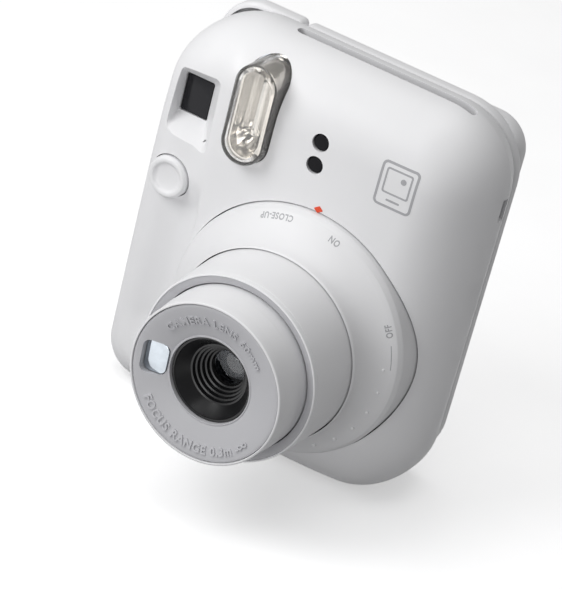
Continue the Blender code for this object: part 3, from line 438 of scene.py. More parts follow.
# ---- materials -----------------------------------------------------------------------------------
def node(tree, kind, **values):
    made = tree.nodes.new(kind)
    for key, value in values.items():
        if key.startswith("in_"):
            made.inputs[key[3:].replace("_", " ")].default_value = value
        else:
            setattr(made, key, value)
    return made


def wire(tree, *pairs):
    """Link each output to its input."""
    for source, target in pairs:
        tree.links.new(source, target)


def group_tree(name, inputs, outputs):
    """An empty shader group with its sockets."""
    tree = bpy.data.node_groups.new(name, "ShaderNodeTree")
    for label, kind, value in inputs:
        socket = tree.interface.new_socket(label, in_out="INPUT", socket_type=kind)
        socket.default_value = value
    for label, kind in outputs:
        tree.interface.new_socket(label, in_out="OUTPUT", socket_type=kind)
    return tree, tree.nodes.new("NodeGroupInput"), tree.nodes.new("NodeGroupOutput")


def noise(tree, vector, scale, detail=2.0):
    made = node(tree, "ShaderNodeTexNoise", in_Detail=detail)
    if isinstance(scale, float):
        made.inputs["Scale"].default_value = scale
    else:
        tree.links.new(scale, made.inputs["Scale"])
    tree.links.new(vector, made.inputs["Vector"])
    return made.outputs["Fac"]


def ranged(tree, value, low, high, to_low, to_high):
    made = node(tree, "ShaderNodeMapRange")
    tree.links.new(value, made.inputs["Value"])
    for label, want in (("From Min", low), ("From Max", high), ("To Min", to_low), ("To Max", to_high)):
        if isinstance(want, float):
            made.inputs[label].default_value = want
        else:
            tree.links.new(want, made.inputs[label])
    return made.outputs["Result"]


def mixed(tree, factor, a, b):
    made = node(tree, "ShaderNodeMix", data_type="RGBA")
    tree.links.new(factor, made.inputs["Factor"])
    tree.links.new(a, made.inputs["A"])
    tree.links.new(b, made.inputs["B"])
    return made.outputs["Result"]


def moulded_group():
    """Fine spark-eroded grain, faint cloudiness and lighter rubbed edges."""
    name = "moulded surface"
    if name in bpy.data.node_groups:
        return bpy.data.node_groups[name]
    tree, given, out = group_tree(
        name,
        [("Colour", "NodeSocketColor", (0.8, 0.8, 0.8, 1.0)),
         ("Shade", "NodeSocketColor", (0.7, 0.7, 0.7, 1.0)),
         ("Edge", "NodeSocketColor", (0.9, 0.9, 0.9, 1.0)), ("Grain Scale", "NodeSocketFloat", 2600.0),
         ("Smoothest", "NodeSocketFloat", 0.35), ("Roughest", "NodeSocketFloat", 0.5),
         ("Wear", "NodeSocketFloat", 0.3)],
        [("Colour", "NodeSocketColor"), ("Roughness", "NodeSocketFloat"), ("Height", "NodeSocketFloat")])
    place = tree.nodes.new("ShaderNodeTexCoord").outputs["Object"]
    grain = noise(tree, place, given.outputs["Grain Scale"], 3.0)
    cloud = noise(tree, place, 28.0, 4.0)
    smear = noise(tree, place, 160.0, 5.0)
    base = mixed(tree, ranged(tree, cloud, 0.35, 0.65, 0.0, 1.0), given.outputs["Colour"],
                 given.outputs["Shade"])
    edge = ranged(tree, tree.nodes.new("ShaderNodeNewGeometry").outputs["Pointiness"], 0.52, 0.60, 0.0, 1.0)
    amount = node(tree, "ShaderNodeMath", operation="MULTIPLY")
    tree.links.new(edge, amount.inputs[0])
    tree.links.new(given.outputs["Wear"], amount.inputs[1])
    worn = mixed(tree, amount.outputs[0], base, given.outputs["Edge"])
    rough = ranged(tree, smear, 0.3, 0.7, given.outputs["Smoothest"], given.outputs["Roughest"])
    tree.links.new(worn, out.inputs["Colour"])
    tree.links.new(rough, out.inputs["Roughness"])
    tree.links.new(grain, out.inputs["Height"])
    return tree


def drawn_group():
    """Fine drawn lines along one axis, for rolled and turned metal."""
    name = "drawn metal"
    if name in bpy.data.node_groups:
        return bpy.data.node_groups[name]
    tree, given, out = group_tree(
        name,
        [("Colour", "NodeSocketColor", (0.6, 0.6, 0.62, 1.0)),
         ("Shade", "NodeSocketColor", (0.4, 0.4, 0.42, 1.0)),
         ("Stretch", "NodeSocketVector", (60.0, 3000.0, 3000.0)), ("Smoothest", "NodeSocketFloat", 0.2),
         ("Roughest", "NodeSocketFloat", 0.45)],
        [("Colour", "NodeSocketColor"), ("Roughness", "NodeSocketFloat"), ("Height", "NodeSocketFloat")])
    place = tree.nodes.new("ShaderNodeTexCoord").outputs["Object"]
    scaled = node(tree, "ShaderNodeVectorMath", operation="MULTIPLY")
    tree.links.new(place, scaled.inputs[0])
    tree.links.new(given.outputs["Stretch"], scaled.inputs[1])
    lines = noise(tree, scaled.outputs[0], 1.0, 4.0)
    spots = noise(tree, place, 220.0, 4.0)
    tree.links.new(mixed(tree, ranged(tree, lines, 0.3, 0.7, 0.0, 1.0), given.outputs["Colour"],
                         given.outputs["Shade"]), out.inputs["Colour"])
    tree.links.new(ranged(tree, spots, 0.3, 0.7, given.outputs["Smoothest"], given.outputs["Roughest"]),
                   out.inputs["Roughness"])
    tree.links.new(lines, out.inputs["Height"])
    return tree


def new_material(name):
    mat = bpy.data.materials.new(name)
    mat.use_nodes = True
    return mat, mat.node_tree, mat.node_tree.nodes["Principled BSDF"]


def tint(colour, factor):
    return (*[min(1.0, c * factor) for c in colour], 1.0)


def surfaced(name, group, values, strength, depth_mm):
    """A material whose colour, roughness and fine bumps come from a surface group."""
    mat, tree, shader = new_material(name)
    surface = node(tree, "ShaderNodeGroup", node_tree=group)
    for label, value in values.items():
        surface.inputs[label].default_value = value
    bump = node(tree, "ShaderNodeBump", in_Strength=strength, in_Distance=depth_mm * MM)
    wire(tree, (surface.outputs["Height"], bump.inputs["Height"]),
         (surface.outputs["Colour"], shader.inputs["Base Color"]),
         (surface.outputs["Roughness"], shader.inputs["Roughness"]),
         (bump.outputs["Normal"], shader.inputs["Normal"]))
    mat.diffuse_color = values["Colour"]
    return mat, shader


def moulded(name, colour, rough=(0.36, 0.48), grain=2600.0, depth_mm=0.012, wear=0.3, specular=0.5,
            coat=0.0):
    """Moulded plastic or rubber."""
    if name in bpy.data.materials:
        return bpy.data.materials[name]
    mat, shader = surfaced(name, moulded_group(), {
        "Colour": tint(colour, 1.0), "Shade": tint(colour, 0.975), "Edge": tint(colour, 1.12),
        "Grain Scale": grain, "Smoothest": rough[0], "Roughest": rough[1], "Wear": wear}, 0.35, depth_mm)
    shader.inputs["Specular IOR Level"].default_value = specular
    shader.inputs["Coat Weight"].default_value = coat
    return mat


def metal(name, colour, rough=(0.2, 0.42), stretch=(60.0, 3000.0, 3000.0), depth_mm=0.006):
    """Rolled, turned or polished metal."""
    if name in bpy.data.materials:
        return bpy.data.materials[name]
    mat, shader = surfaced(name, drawn_group(), {
        "Colour": tint(colour, 1.0), "Shade": tint(colour, 0.82), "Stretch": stretch,
        "Smoothest": rough[0], "Roughest": rough[1]}, 0.3, depth_mm)
    shader.inputs["Metallic"].default_value = 1.0
    return mat


def clear(name, colour, rough=0.04, ior=1.49, flow=0.0, through=1.0):
    """Clear moulded plastic or glass, with faint flow marks."""
    if name in bpy.data.materials:
        return bpy.data.materials[name]
    mat, tree, shader = new_material(name)
    place = tree.nodes.new("ShaderNodeTexCoord").outputs["Object"]
    marks = noise(tree, place, 120.0, 3.0)
    bump = node(tree, "ShaderNodeBump", in_Strength=0.25, in_Distance=max(flow, 0.002) * MM)
    tree.links.new(marks, bump.inputs["Height"])
    tree.links.new(bump.outputs["Normal"], shader.inputs["Normal"])
    tree.links.new(ranged(tree, marks, 0.3, 0.7, rough * 0.6, rough * 1.4), shader.inputs["Roughness"])
    shader.inputs["Base Color"].default_value = tint(colour, 1.0)
    shader.inputs["Transmission Weight"].default_value = through
    shader.inputs["IOR"].default_value = ior
    mat.diffuse_color = (*colour, 0.4)
    return mat


MOULDED = {      # name, colour, roughness, grain, grain depth in mm, rubbed edges, specular, coat
    "black": ("black moulding", (0.016, 0.016, 0.018), (0.42, 0.6), 1500.0, 0.02, 0.5),
    "well": ("lens well black", (0.010, 0.010, 0.011), (0.24, 0.36), 1200.0, 0.008, 0.5),
    "window": ("dark sensor window", (0.006, 0.006, 0.008), (0.05, 0.12), 300.0, 0.001, 0.0, 0.12),
    "finder": ("smoked finder window", (0.014, 0.014, 0.017), (0.06, 0.14), 300.0, 0.001, 0.0, 0.22),
    "rubber": ("soft black rubber", (0.022, 0.022, 0.024), (0.62, 0.8), 1100.0, 0.03, 0.4, 0.3),
    "nylon": ("natural nylon", (0.80, 0.78, 0.70), (0.35, 0.5), 900.0, 0.01, 0.3),
    "board": ("green circuit board", (0.02, 0.20, 0.08), (0.25, 0.45), 700.0, 0.02, 0.2),
    "cell": ("battery wrap", (0.10, 0.11, 0.13), (0.2, 0.3), 500.0, 0.004, 0.6, 0.5, 0.4),
    "gauge": ("amber gauge", (0.75, 0.52, 0.05), (0.1, 0.2), 500.0, 0.002, 0.0, 0.5, 0.5),
}
METALS = {       # name, colour, roughness, stretch of the drawn lines, their depth in mm
    "steel": ("rolled steel", (0.60, 0.60, 0.62)),
    "turned steel": ("turned steel", (0.55, 0.55, 0.57), (0.15, 0.3), (3000.0, 400.0, 400.0)),
    "reflector": ("flash reflector", (0.90, 0.88, 0.85), (0.12, 0.22), (400.0, 900.0, 60.0), 0.02),
    "mirror": ("mirror face", (0.60, 0.65, 0.70), (0.05, 0.10), (300.0, 300.0, 300.0), 0.0005),
}
CLEAR = {        # name, colour, roughness, refraction, flow marks, share of light let through
    "clear": ("clear flash moulding", (0.96, 0.945, 0.92), 0.05, 1.4, 0.004, 0.93),
    "tube": ("flash tube glass", (0.96, 0.97, 0.98), 0.02, 1.47),
    "glass": ("optical glass", (0.90, 0.93, 0.98), 0.01, 1.6),
}


def look(key):
    """The finish of each kind of piece."""
    if key in MOULDED:
        return moulded(*MOULDED[key])
    if key in METALS:
        return metal(*METALS[key])
    if key in CLEAR:
        return clear(*CLEAR[key])
    body = bpy.context.scene.camera_housing
    # A darker copy of the lens face's grey plastic, for the barrels' annulus and the slot trim: the grey is
    # the plastic's own, the darkening is painted shade.
    shadow = tuple(c * 0.95 for c in body.grey)
    own = {
        "white": ("white moulding", tuple(body.plastic), (0.40, 0.52), 2200.0, 0.016, 0.25, 0.42),
        "grey": ("grey lens moulding", tuple(body.grey), (0.40, 0.50), 2400.0, 0.014, 0.35, 0.42),
        "shadow grey": ("grey barrel moulding", shadow, (0.42, 0.52), 2400.0, 0.014),
        "marker": ("marker ink", tuple(body.mark), (0.35, 0.45), 1800.0, 0.006, 0.0),
        "print": ("label ink", tuple(body.print), (0.45, 0.55), 1800.0, 0.004, 0.0),
    }
    return moulded(*own[key])


# ---- repeated pieces -----------------------------------------------------------------------------
def placed_copies(tree, given, out, points, shape, scale):
    """Copies of a shape on points, made real and painted."""
    copies = tree.nodes.new("GeometryNodeInstanceOnPoints")
    real = tree.nodes.new("GeometryNodeRealizeInstances")
    paint = tree.nodes.new("GeometryNodeSetMaterial")
    wire(tree, (points, copies.inputs["Points"]), (shape, copies.inputs["Instance"]),
         (scale, copies.inputs["Scale"]), (copies.outputs["Instances"], real.inputs["Geometry"]),
         (real.outputs["Geometry"], paint.inputs["Geometry"]),
         (given.outputs["Finish"], paint.inputs["Material"]),
         (paint.outputs["Geometry"], out.inputs["Geometry"]))


def array_tree(name):
    """A row of copies of one mesh along a line: count, first place, step and scale."""
    if name in bpy.data.node_groups:
        return bpy.data.node_groups[name]
    tree = bpy.data.node_groups.new(name, "GeometryNodeTree")
    for label, kind, value in (("Geometry", "NodeSocketGeometry", None), ("Count", "NodeSocketInt", 8),
                               ("Start", "NodeSocketVector", (0.0, 0.0, 0.0)),
                               ("Step", "NodeSocketVector", (0.0, 0.0, 0.001)),
                               ("Size", "NodeSocketVector", (0.001, 0.001, 0.001)),
                               ("Finish", "NodeSocketMaterial", None)):
        socket = tree.interface.new_socket(label, in_out="INPUT", socket_type=kind)
        if value is not None:
            socket.default_value = value
    tree.interface.new_socket("Geometry", in_out="OUTPUT", socket_type="NodeSocketGeometry")
    given, out = tree.nodes.new("NodeGroupInput"), tree.nodes.new("NodeGroupOutput")
    line = node(tree, "GeometryNodeMeshLine", mode="OFFSET")
    wire(tree, (given.outputs["Count"], line.inputs["Count"]),
         (given.outputs["Start"], line.inputs["Start Location"]),
         (given.outputs["Step"], line.inputs["Offset"]))
    placed_copies(tree, given, out, line.outputs["Mesh"], given.outputs["Geometry"], given.outputs["Size"])
    return tree


def arrayed(obj, tree, **values):
    """Give an object a Geometry Nodes modifier, set its inputs by identifier and bake it."""
    mod = obj.modifiers.new(tree.name, "NODES")
    mod.node_group = tree
    sockets = {item.name: item.identifier for item in tree.interface.items_tree
               if item.item_type == "SOCKET" and item.in_out == "INPUT"}
    for key, value in values.items():
        mod[sockets[key]] = value
    return baked(obj)


def rib_profile(name, outline):
    """A one-unit long bar along X whose cross-section is given as (y, z) points."""
    points, faces = [], []
    count = len(outline)
    for x in (-0.5, 0.5):
        points += [(x / MM, y / MM, z / MM) for y, z in outline]
    for i in range(count):
        j = (i + 1) % count
        faces.append((i, j, count + j, count + i))
    faces += [tuple(range(count)), tuple(count + i for i in reversed(range(count)))]
    return outward(mesh_piece(name, points, faces))


HALF_ROUND = [(-math.cos(math.radians(a)), 0.5 * math.sin(math.radians(a)))
              for a in (-90, -60, -30, 0, 30, 60, 90)]


def dotted_tree(name):
    """Copies of one mesh at a row of places and sizes taken from the points of the base mesh."""
    if name in bpy.data.node_groups:
        return bpy.data.node_groups[name]
    tree = bpy.data.node_groups.new(name, "GeometryNodeTree")
    for label, kind in (("Geometry", "NodeSocketGeometry"), ("Radius", "NodeSocketFloat"),
                        ("Growth", "NodeSocketFloat"), ("Finish", "NodeSocketMaterial")):
        tree.interface.new_socket(label, in_out="INPUT", socket_type=kind)
    tree.interface.new_socket("Geometry", in_out="OUTPUT", socket_type="NodeSocketGeometry")
    given, out = tree.nodes.new("NodeGroupInput"), tree.nodes.new("NodeGroupOutput")
    ball = node(tree, "GeometryNodeMeshUVSphere", in_Segments=20, in_Rings=12)
    index = tree.nodes.new("GeometryNodeInputIndex")
    grow = node(tree, "ShaderNodeMath", operation="MULTIPLY_ADD")
    grow.inputs[2].default_value = 1.0
    wire(tree, (given.outputs["Radius"], ball.inputs["Radius"]), (index.outputs["Index"], grow.inputs[0]),
         (given.outputs["Growth"], grow.inputs[1]))
    placed_copies(tree, given, out, given.outputs["Geometry"], ball.outputs["Mesh"], grow.outputs[0])
    return tree


# ---- raised and printed lettering ----------------------------------------------------------------
def letters(text, size, thickness):
    """The points (mm) and faces of a line of text, centred, standing up by thickness."""
    curve = bpy.data.curves.new("letters", "FONT")
    curve.body = text
    curve.size = size
    curve.extrude = thickness / 2.0
    curve.offset = 0.022 * size
    curve.resolution_u = 3
    curve.space_character = 1.12
    curve.align_x = "CENTER"
    curve.align_y = "CENTER"
    obj = link("letters", curve)
    bpy.context.view_layer.update()
    mesh = bpy.data.meshes.new_from_object(obj.evaluated_get(bpy.context.evaluated_depsgraph_get()))
    points = np.array([v.co for v in mesh.vertices])
    faces = [tuple(p.vertices) for p in mesh.polygons]
    discard(obj)
    return points, faces


def wrapped_text(name, text, size, thickness, angle, radius, inwards, height_at, stretch=1.0, sink=0.06):
    """Text wrapped round the lens axis on a turned surface; inwards turns its tops to the axis."""
    points, faces = letters(text, size, thickness)
    side = -1.0 if inwards else 1.0
    r = radius + side * points[:, 1]
    turn = math.radians(angle) - side * points[:, 0] * stretch / radius
    out = height_at(r) + points[:, 2] + thickness / 2.0 - sink
    placed = np.stack([LENS_X + r * np.cos(turn), depth(-out), LENS_Z + r * np.sin(turn)], 1)
    return outward(mesh_piece(name, placed, faces))


# ---- front housing -------------------------------------------------------------------------------
def densified(outline, count):
    """A closed outline with evenly many points between its corners, so that it can follow a curve."""
    out = []
    for a, b in zip(outline, outline[1:] + outline[:1]):
        parts = count if math.dist(a, b) > 1.0 else 1
        out += [(a[0] + (b[0] - a[0]) * k / parts, a[1] + (b[1] - a[1]) * k / parts) for k in range(parts)]
    return out


def inlay(name, outer, inner, rise, sink, hollow=0.0):
    """A thin patch or frame that follows the front surface."""
    outer = densified(outer, 12)
    outlines = [outer] if inner is None else [outer, densified(inner, 12)]
    points, faces = [], []
    count = len(outer)
    for outline in outlines:
        level = [surface_depth(x, z, hollow) for x, z in outline]
        points += [(x, depth(d - rise), z) for (x, z), d in zip(outline, level)]
        points += [(x, depth(d + sink), z) for (x, z), d in zip(outline, level)]
    for i in range(count):
        j = (i + 1) % count
        faces.append((i, j, count + j, count + i))
        if inner is not None:
            a, b = 2 * count, 3 * count
            faces += [(a + i, b + i, b + j, a + j), (i, a + i, a + j, j),
                      (count + i, count + j, b + j, b + i)]
    if inner is None:
        faces += [tuple(range(count)), tuple(count + i for i in reversed(range(count)))]
    return outward(mesh_piece(name, points, faces))


def housing_shell(settings):
    hollow = settings.hollow / MM
    rows, columns = settings.rows, settings.columns
    points = np.concatenate([housing_line(2.0 * math.pi * c / columns, rows, hollow) for c in range(columns)])
    faces = []
    for c in range(columns):
        here, after = c * rows, (c + 1) % columns * rows
        faces += [(here + r, here + r + 1, after + r + 1, after + r) for r in range(rows - 1)]
    obj = mesh_piece("front_housing_shell", points, faces)
    mod = obj.modifiers.new("wall", "SOLIDIFY")
    mod.thickness = settings.wall
    mod.offset = -1.0
    mod.use_even_offset = True
    return baked(obj)


def finder_outline(level, grow=0.0):
    """The viewfinder recess at a depth: wide at the face and drawn in to the window."""
    part = (FINDER_D - level) / (FINDER_D - 16.8)
    left, right = -45.9 - 1.0 * part, -36.7 + 5.2 * part
    low, high = 89.1 - 5.9 * part, 100.9 + 5.4 * part
    radius = max(0.4, 0.6 + 1.4 * part)
    return rounded_box(right - left + 2 * grow, high - low + 2 * grow, ((left + right) / 2, (low + high) / 2),
                       radius + grow)


def finder_boss(hollow):
    """The wall round the viewfinder recess, hidden inside the housing."""
    outer = finder_outline(19.5, 1.3)
    level = [surface_depth(x, z, hollow) + 0.9 for x, z in outer]
    return loft("boss", [(outer, level), (finder_outline(FINDER_D, 1.3), FINDER_D + 1.4)])


def housing_cutters():
    centre = (LENS_X, depth(0.0), LENS_Z)
    button = (BUTTON_X, depth(0.0), BUTTON_Z)
    around = surface_depth(BUTTON_X, BUTTON_Z)
    r = BUTTON_R + 0.3
    half_slot = SLOT_L / 2 + 2.0 + GAP
    cuts = [
        plate("cut", stadium(FLASH_W + 2 * GAP, FLASH_H + 2 * GAP, (FLASH_X, FLASH_Z)), 2.0, 29.0),
        loft("cut", [(finder_outline(d), d) for d in (10.0, 16.0, 20.0, FINDER_D)]),
        plate("cut", rounded_box(FINDER_W + 2 * GAP, FINDER_H + 2 * GAP, (FINDER_X, FINDER_Z), 0.6),
              22.0, 30.0),
        turned("cut", [(0.0, -5.0), (r + 3.0, -5.0), (r + 0.7, -around + 1.0), (r + 0.22, -around - 0.25),
                       (r, -around - 0.8), (r, -28.0), (0.0, -28.0)], 72, button),
        turned("cut", [(0.0, 5.0), (RING_R + 0.35, 5.0), (RING_R + 0.35, -36.0), (0.0, -36.0)], 192, centre),
        upright("cut", [(rounded_box(SLOT_L + 2.4, SLOT_T + 0.9, (LENS_X, 0.0), 1.6), BODY_TOP - 5.5),
                        (rounded_box(SLOT_L + 2.4, SLOT_T + 0.9, (LENS_X, 0.0), 1.6), BODY_TOP + 3.0)]),
        upright("cut", [(rounded_box(2 * half_slot, 2 * 3.5, (LENS_X, 0.0), 0.1), BODY_TOP - 9.0),
                        (rounded_box(2 * half_slot, 2 * 3.5, (LENS_X, 0.0), 0.1), BODY_TOP - 2.6)]),
        plate("cut", rounded_box(12.0, 7.0, (BODY_W / 2 + 2.4, STRAP_Z), 1.5), 35.6, 39.4),
    ]
    r = SENSOR_R + 0.12
    for z in SENSOR_Z:
        cuts.append(turned("cut", [(0.0, 0.0), (r, 0.0), (r, -26.0), (0.0, -26.0)], 48,
                           (SENSOR_X, depth(0.0), z)))
    for x, d in FEET:
        cuts.append(turned("cut", [(0.0, 2.0), (2.9, 2.0), (2.9, -4.0), (0.0, -4.0)], 32,
                           (x, depth(d), 0.0), (0.0, 0.0, 1.0)))
    return cuts


def pictogram():
    """A plain line drawing of a picture print, on the upper right of the face."""
    x, z = 27.9, 99.6
    frames = [
        inlay("print_frame", rounded_box(11.6, 13.4, (x, z), 1.5, 6), rounded_box(10.2, 12.0, (x, z), 0.9, 6),
              0.06, 0.3),
        inlay("print_picture", rounded_box(8.2, 7.6, (x, z + 1.2), 0.7, 6),
              rounded_box(7.2, 6.6, (x, z + 1.2), 0.4, 6), 0.06, 0.3),
        inlay("print_dot", stadium(1.7, 1.7, (x + 1.6, z + 2.4), 6), None, 0.06, 0.3),
        inlay("print_line", rounded_box(4.2, 0.6, (x, z - 4.4), 0.28, 6), None, 0.06, 0.3),
    ]
    return joined("print_pictogram", frames)


class CAMERA_OT_front_housing(bpy.types.Operator):
    """Build the moulded front housing with its recesses, marker and pictogram"""
    bl_idname = "camera_finish.front_housing"
    bl_label = "Front Housing"

    def execute(self, context):
        settings = context.scene.camera_housing
        hollow = settings.hollow / MM
        shell = housing_shell(settings)
        combined(shell, [finder_boss(hollow)], "UNION")
        combined(shell, housing_cutters(), "DIFFERENCE")
        finished(shell, "camera_body", "white_plastic", look("white"), "front_housing")
        x, z = LENS_X - 0.5, LENS_Z + RING_R + 1.2
        corners = [(x - 1.5, z - 0.2, 0.2), (x - 0.1, z - 1.1, 0.2), (x + 1.5, z - 0.1, 0.2),
                   (x + 0.1, z + 1.0, 0.2)]
        mark = inlay("setting_marker", filleted(corners, True, 3), None, 0.12, 0.6)
        finished(mark, "camera_body", "white_plastic", look("marker"))
        finished(pictogram(), "camera_body", "white_plastic", look("print"))
        return {"FINISHED"}


# ---- twist ring and barrels ----------------------------------------------------------------------
LABEL_R = 35.2                   # where the ring's printed labels sit


def flare():
    """The twist ring's flared front: (radius, height) from the neck outwards."""
    out = []
    for i in range(41):
        part = i / 40.0
        out.append((NECK_R + 0.4 + (RING_R - NECK_R - 1.6) * part ** 1.9, -11.5 * part ** 0.8))
    return out


def flare_height(r):
    line = flare()
    return np.interp(r, [p[0] for p in line], [p[1] for p in line])


def setting_dots(count):
    """Raised dots that grow along the ring's edge, one mesh made from a row of points."""
    points = []
    for k in range(count):
        angle = math.radians(8.0 - 12.6 * k)
        r = 33.6
        points.append((LENS_X + r * math.cos(angle), depth(-float(flare_height(r)) + 0.1),
                       LENS_Z + r * math.sin(angle)))
    obj = mesh_piece("ring_setting_dots", points, [])
    return arrayed(obj, dotted_tree("growing dots"), Radius=0.42 * MM, Growth=0.12, Finish=look("white"))


def scale_line(start, end, width=0.09, relief=0.03):
    """A fine printed arc on the ring, from one angle to another in degrees."""
    points, faces, count = [], [], 24
    for k in range(count + 1):
        angle = math.radians(start + (end - start) * k / count)
        for across, up in ((-width, relief), (width, relief), (width, -relief), (-width, -relief)):
            r = LABEL_R + across
            points.append((LENS_X + r * math.cos(angle), depth(-float(flare_height(r)) - up),
                           LENS_Z + r * math.sin(angle)))
    for k in range(count):
        a, b = 4 * k, 4 * (k + 1)
        faces += [(a + i, a + (i + 1) % 4, b + (i + 1) % 4, b + i) for i in range(4)]
    faces += [(0, 1, 2, 3), tuple(4 * count + i for i in (3, 2, 1, 0))]
    return outward(mesh_piece("label_scale_line", points, faces))


class CAMERA_OT_twist_ring(bpy.types.Operator):
    """Build the flared twist ring with its labels and setting dots"""
    bl_idname = "camera_finish.twist_ring"
    bl_label = "Twist Ring"

    def execute(self, context):
        steps = context.scene.camera_lens.steps
        outer = filleted([(NECK_R + 0.02, 0.0)] + flare()[1:-2] +
                         [(RING_R - 0.9, -11.9, 1.2), (RING_R, -13.6, 1.6), (RING_R, -26.8, 0.3),
                          (RING_R - 1.4, -26.8)])
        inner = [(RING_R - 1.4, -14.6), (RING_R - 3.4, -13.4), (NECK_R + 3.0, -10.0), (NECK_R + 0.9, -5.0),
                 (NECK_R, -2.4)]
        ring = turned("twist_ring_flared", outer + inner, steps)
        finished(ring, "twist_ring", "white_plastic", look("white"), "twist_ring")
        for name, text, angle in (("label_off", "OFF", 27.0), ("label_on", "ON", 76.0),
                                  ("label_close", "CLOSE-UP", 107.0)):
            label = wrapped_text(name, text, 2.1, 0.12, angle, LABEL_R, True, flare_height, sink=0.08)
            finished(label, "twist_ring", "white_plastic", look("print"))
        finished(scale_line(8.0, 20.0), "twist_ring", "white_plastic", look("print"))
        dots = setting_dots(context.scene.camera_lens.dots)
        finished(dots, "twist_ring", "white_plastic", look("white"), angle=math.radians(60.0))
        return {"FINISHED"}


def middle_barrel(steps):
    front = MID_OUT
    outside = filleted([(26.95, front - 0.6), (27.02, front - 0.05, 0.06), (27.5, front - 0.05, 0.35),
                        (27.62, front - 1.5, 0.1),
                        (27.54, front - 1.62, 0.06), (27.66, front - 1.76, 0.1), (28.35, 0.0, 1.0),
                        (28.35, -4.0, 0.3), (26.95, -4.0), (26.6, front - 3.4), (25.4, front - 2.8),
                        (25.4, front - 2.0)])
    shell = turned("middle_barrel_shell", outside, steps)
    annulus = turned("middle_barrel_face", filleted([(24.55, front - 1.3, 0.25), (26.85, front - 0.35, 0.1),
                                                     (26.85, front - 1.2), (24.9, front - 2.6),
                                                     (24.55, front - 2.6)], True, 4), steps)
    return shell, annulus


def front_barrel(steps):
    front = LENS_OUT - 0.3
    return turned("front_barrel_shell", filleted(
        [(23.0, front - 1.2), (23.1, front - 0.1, 0.15), (23.75, front - 0.2, 0.5), (23.85, front - 4.0, 1.0),
         (24.2, front - 9.0, 4.0), (24.2, -1.8, 0.2), (23.0, -1.8)]), steps)


class CAMERA_OT_barrels(bpy.types.Operator):
    """Build the two telescoping barrels"""
    bl_idname = "camera_finish.barrels"
    bl_label = "Barrels"

    def execute(self, context):
        steps = context.scene.camera_lens.steps
        shell, annulus = middle_barrel(steps)
        finished(shell, "middle_barrel", "white_plastic", look("white"), "middle_barrel")
        # The grey annulus between the barrels is darkened as painted shade.
        finished(annulus, "middle_barrel", "white_plastic", look("shadow grey"))
        finished(front_barrel(steps), "front_barrel", "white_plastic", look("white"), "front_barrel")
        return {"FINISHED"}


# ---- lens face and lens --------------------------------------------------------------------------
FACE_IN_R, FACE_OUT_R, FACE_LOW, FACE_HIGH = 12.9, 22.5, 28.9, 31.7
MIRROR_H = 29.5


def face_height(r):
    part = np.clip((r - FACE_IN_R) / (FACE_OUT_R - FACE_IN_R), 0.0, 1.0)
    return FACE_LOW + (FACE_HIGH - FACE_LOW) * (1.0 - (1.0 - part) ** 1.35)


def mirror_outline(grow):
    corners = ((-13.3, -4.7), (-13.5, 4.3), (-20.6, 4.5), (-20.3, -5.6))
    middle = (-17.0, -0.4)
    out = []
    for x, z in corners:
        sx, sz = math.copysign(grow, x - middle[0]), math.copysign(grow, z - middle[1])
        out.append((LENS_X + x + sx, LENS_Z + z + sz, 2.0 + grow))
    return filleted(out, True, 8)


def lens_face(steps):
    slope = [(r, float(face_height(r))) for r in np.linspace(FACE_IN_R + 0.35, FACE_OUT_R, 24)]
    profile = filleted([(12.55, FACE_LOW - 2.4), (12.6, FACE_LOW + 0.2, 0.12), (12.95, FACE_LOW + 0.22, 0.15),
                        (13.15, FACE_LOW, 0.1)] + slope[1:] +
                       [(22.9, FACE_HIGH - 0.15, 0.25), (22.9, 28.0), (12.9, 27.0)])
    face = turned("lens_face_dished", profile, steps)
    return combined(face, [plate("cut", mirror_outline(0.25), -36.0, -(MIRROR_H - 1.1))], "DIFFERENCE")


def infinity_sign(name, angle, radius, size, height_at, relief):
    """A raised figure-of-eight band on the lens face."""
    points, faces = [], []
    count, width = 48, 0.13 * size
    for k in range(count):
        t = 2.0 * math.pi * k / count
        x = size * math.cos(t) / (1.0 + math.sin(t) ** 2)
        y = size * math.sin(t) * math.cos(t) / (1.0 + math.sin(t) ** 2)
        ahead = t + 0.01
        dx = size * math.cos(ahead) / (1.0 + math.sin(ahead) ** 2) - x
        dy = size * math.sin(ahead) * math.cos(ahead) / (1.0 + math.sin(ahead) ** 2) - y
        norm = math.hypot(dx, dy)
        for side in (-width, width):
            px, py = x - dy / norm * side, y + dx / norm * side
            r = radius - py
            turn = math.radians(angle) + px / radius
            for up in (relief, -0.1):
                points.append((LENS_X + r * math.cos(turn), depth(-(float(height_at(r)) + up)),
                               LENS_Z + r * math.sin(turn)))
    for k in range(count):
        a, b = 4 * k, 4 * ((k + 1) % count)
        for i, j in ((0, 2), (2, 3), (3, 1), (1, 0)):
            faces.append((a + i, a + j, b + j, b + i))
    return outward(mesh_piece(name, points, faces))


class CAMERA_OT_lens_face(bpy.types.Operator):
    """Build the dished lens face, its raised lettering and the small mirror"""
    bl_idname = "camera_finish.lens_face"
    bl_label = "Lens Face"

    def execute(self, context):
        lens = context.scene.camera_lens
        size, relief = lens.letter / MM, lens.relief / MM
        finished(lens_face(lens.steps), "front_barrel", "grey_plastic", look("grey"), "lens_face")
        upper = wrapped_text("lettering_upper", "CAMERA LENS 60mm", size, relief, 92.0, 18.0, False,
                             face_height, 1.0)
        lower = wrapped_text("lettering_lower", "FOCUS RANGE 0.3m -", size, relief, -94.0, 19.9, True,
                             face_height, 1.0)
        sign = infinity_sign("lettering_end", -39.0, 19.7, 1.5, face_height, relief - 0.06)
        for letters_piece in (upper, lower, sign):
            finished(letters_piece, "front_barrel", "grey_plastic", look("grey"))
        mirror = plate("selfie_mirror_face", mirror_outline(0.0), -MIRROR_H, -(MIRROR_H - 0.95), 0.18, 3)
        finished(mirror, "front_barrel", "mirror", look("mirror"), "selfie_mirror")
        return {"FINISHED"}


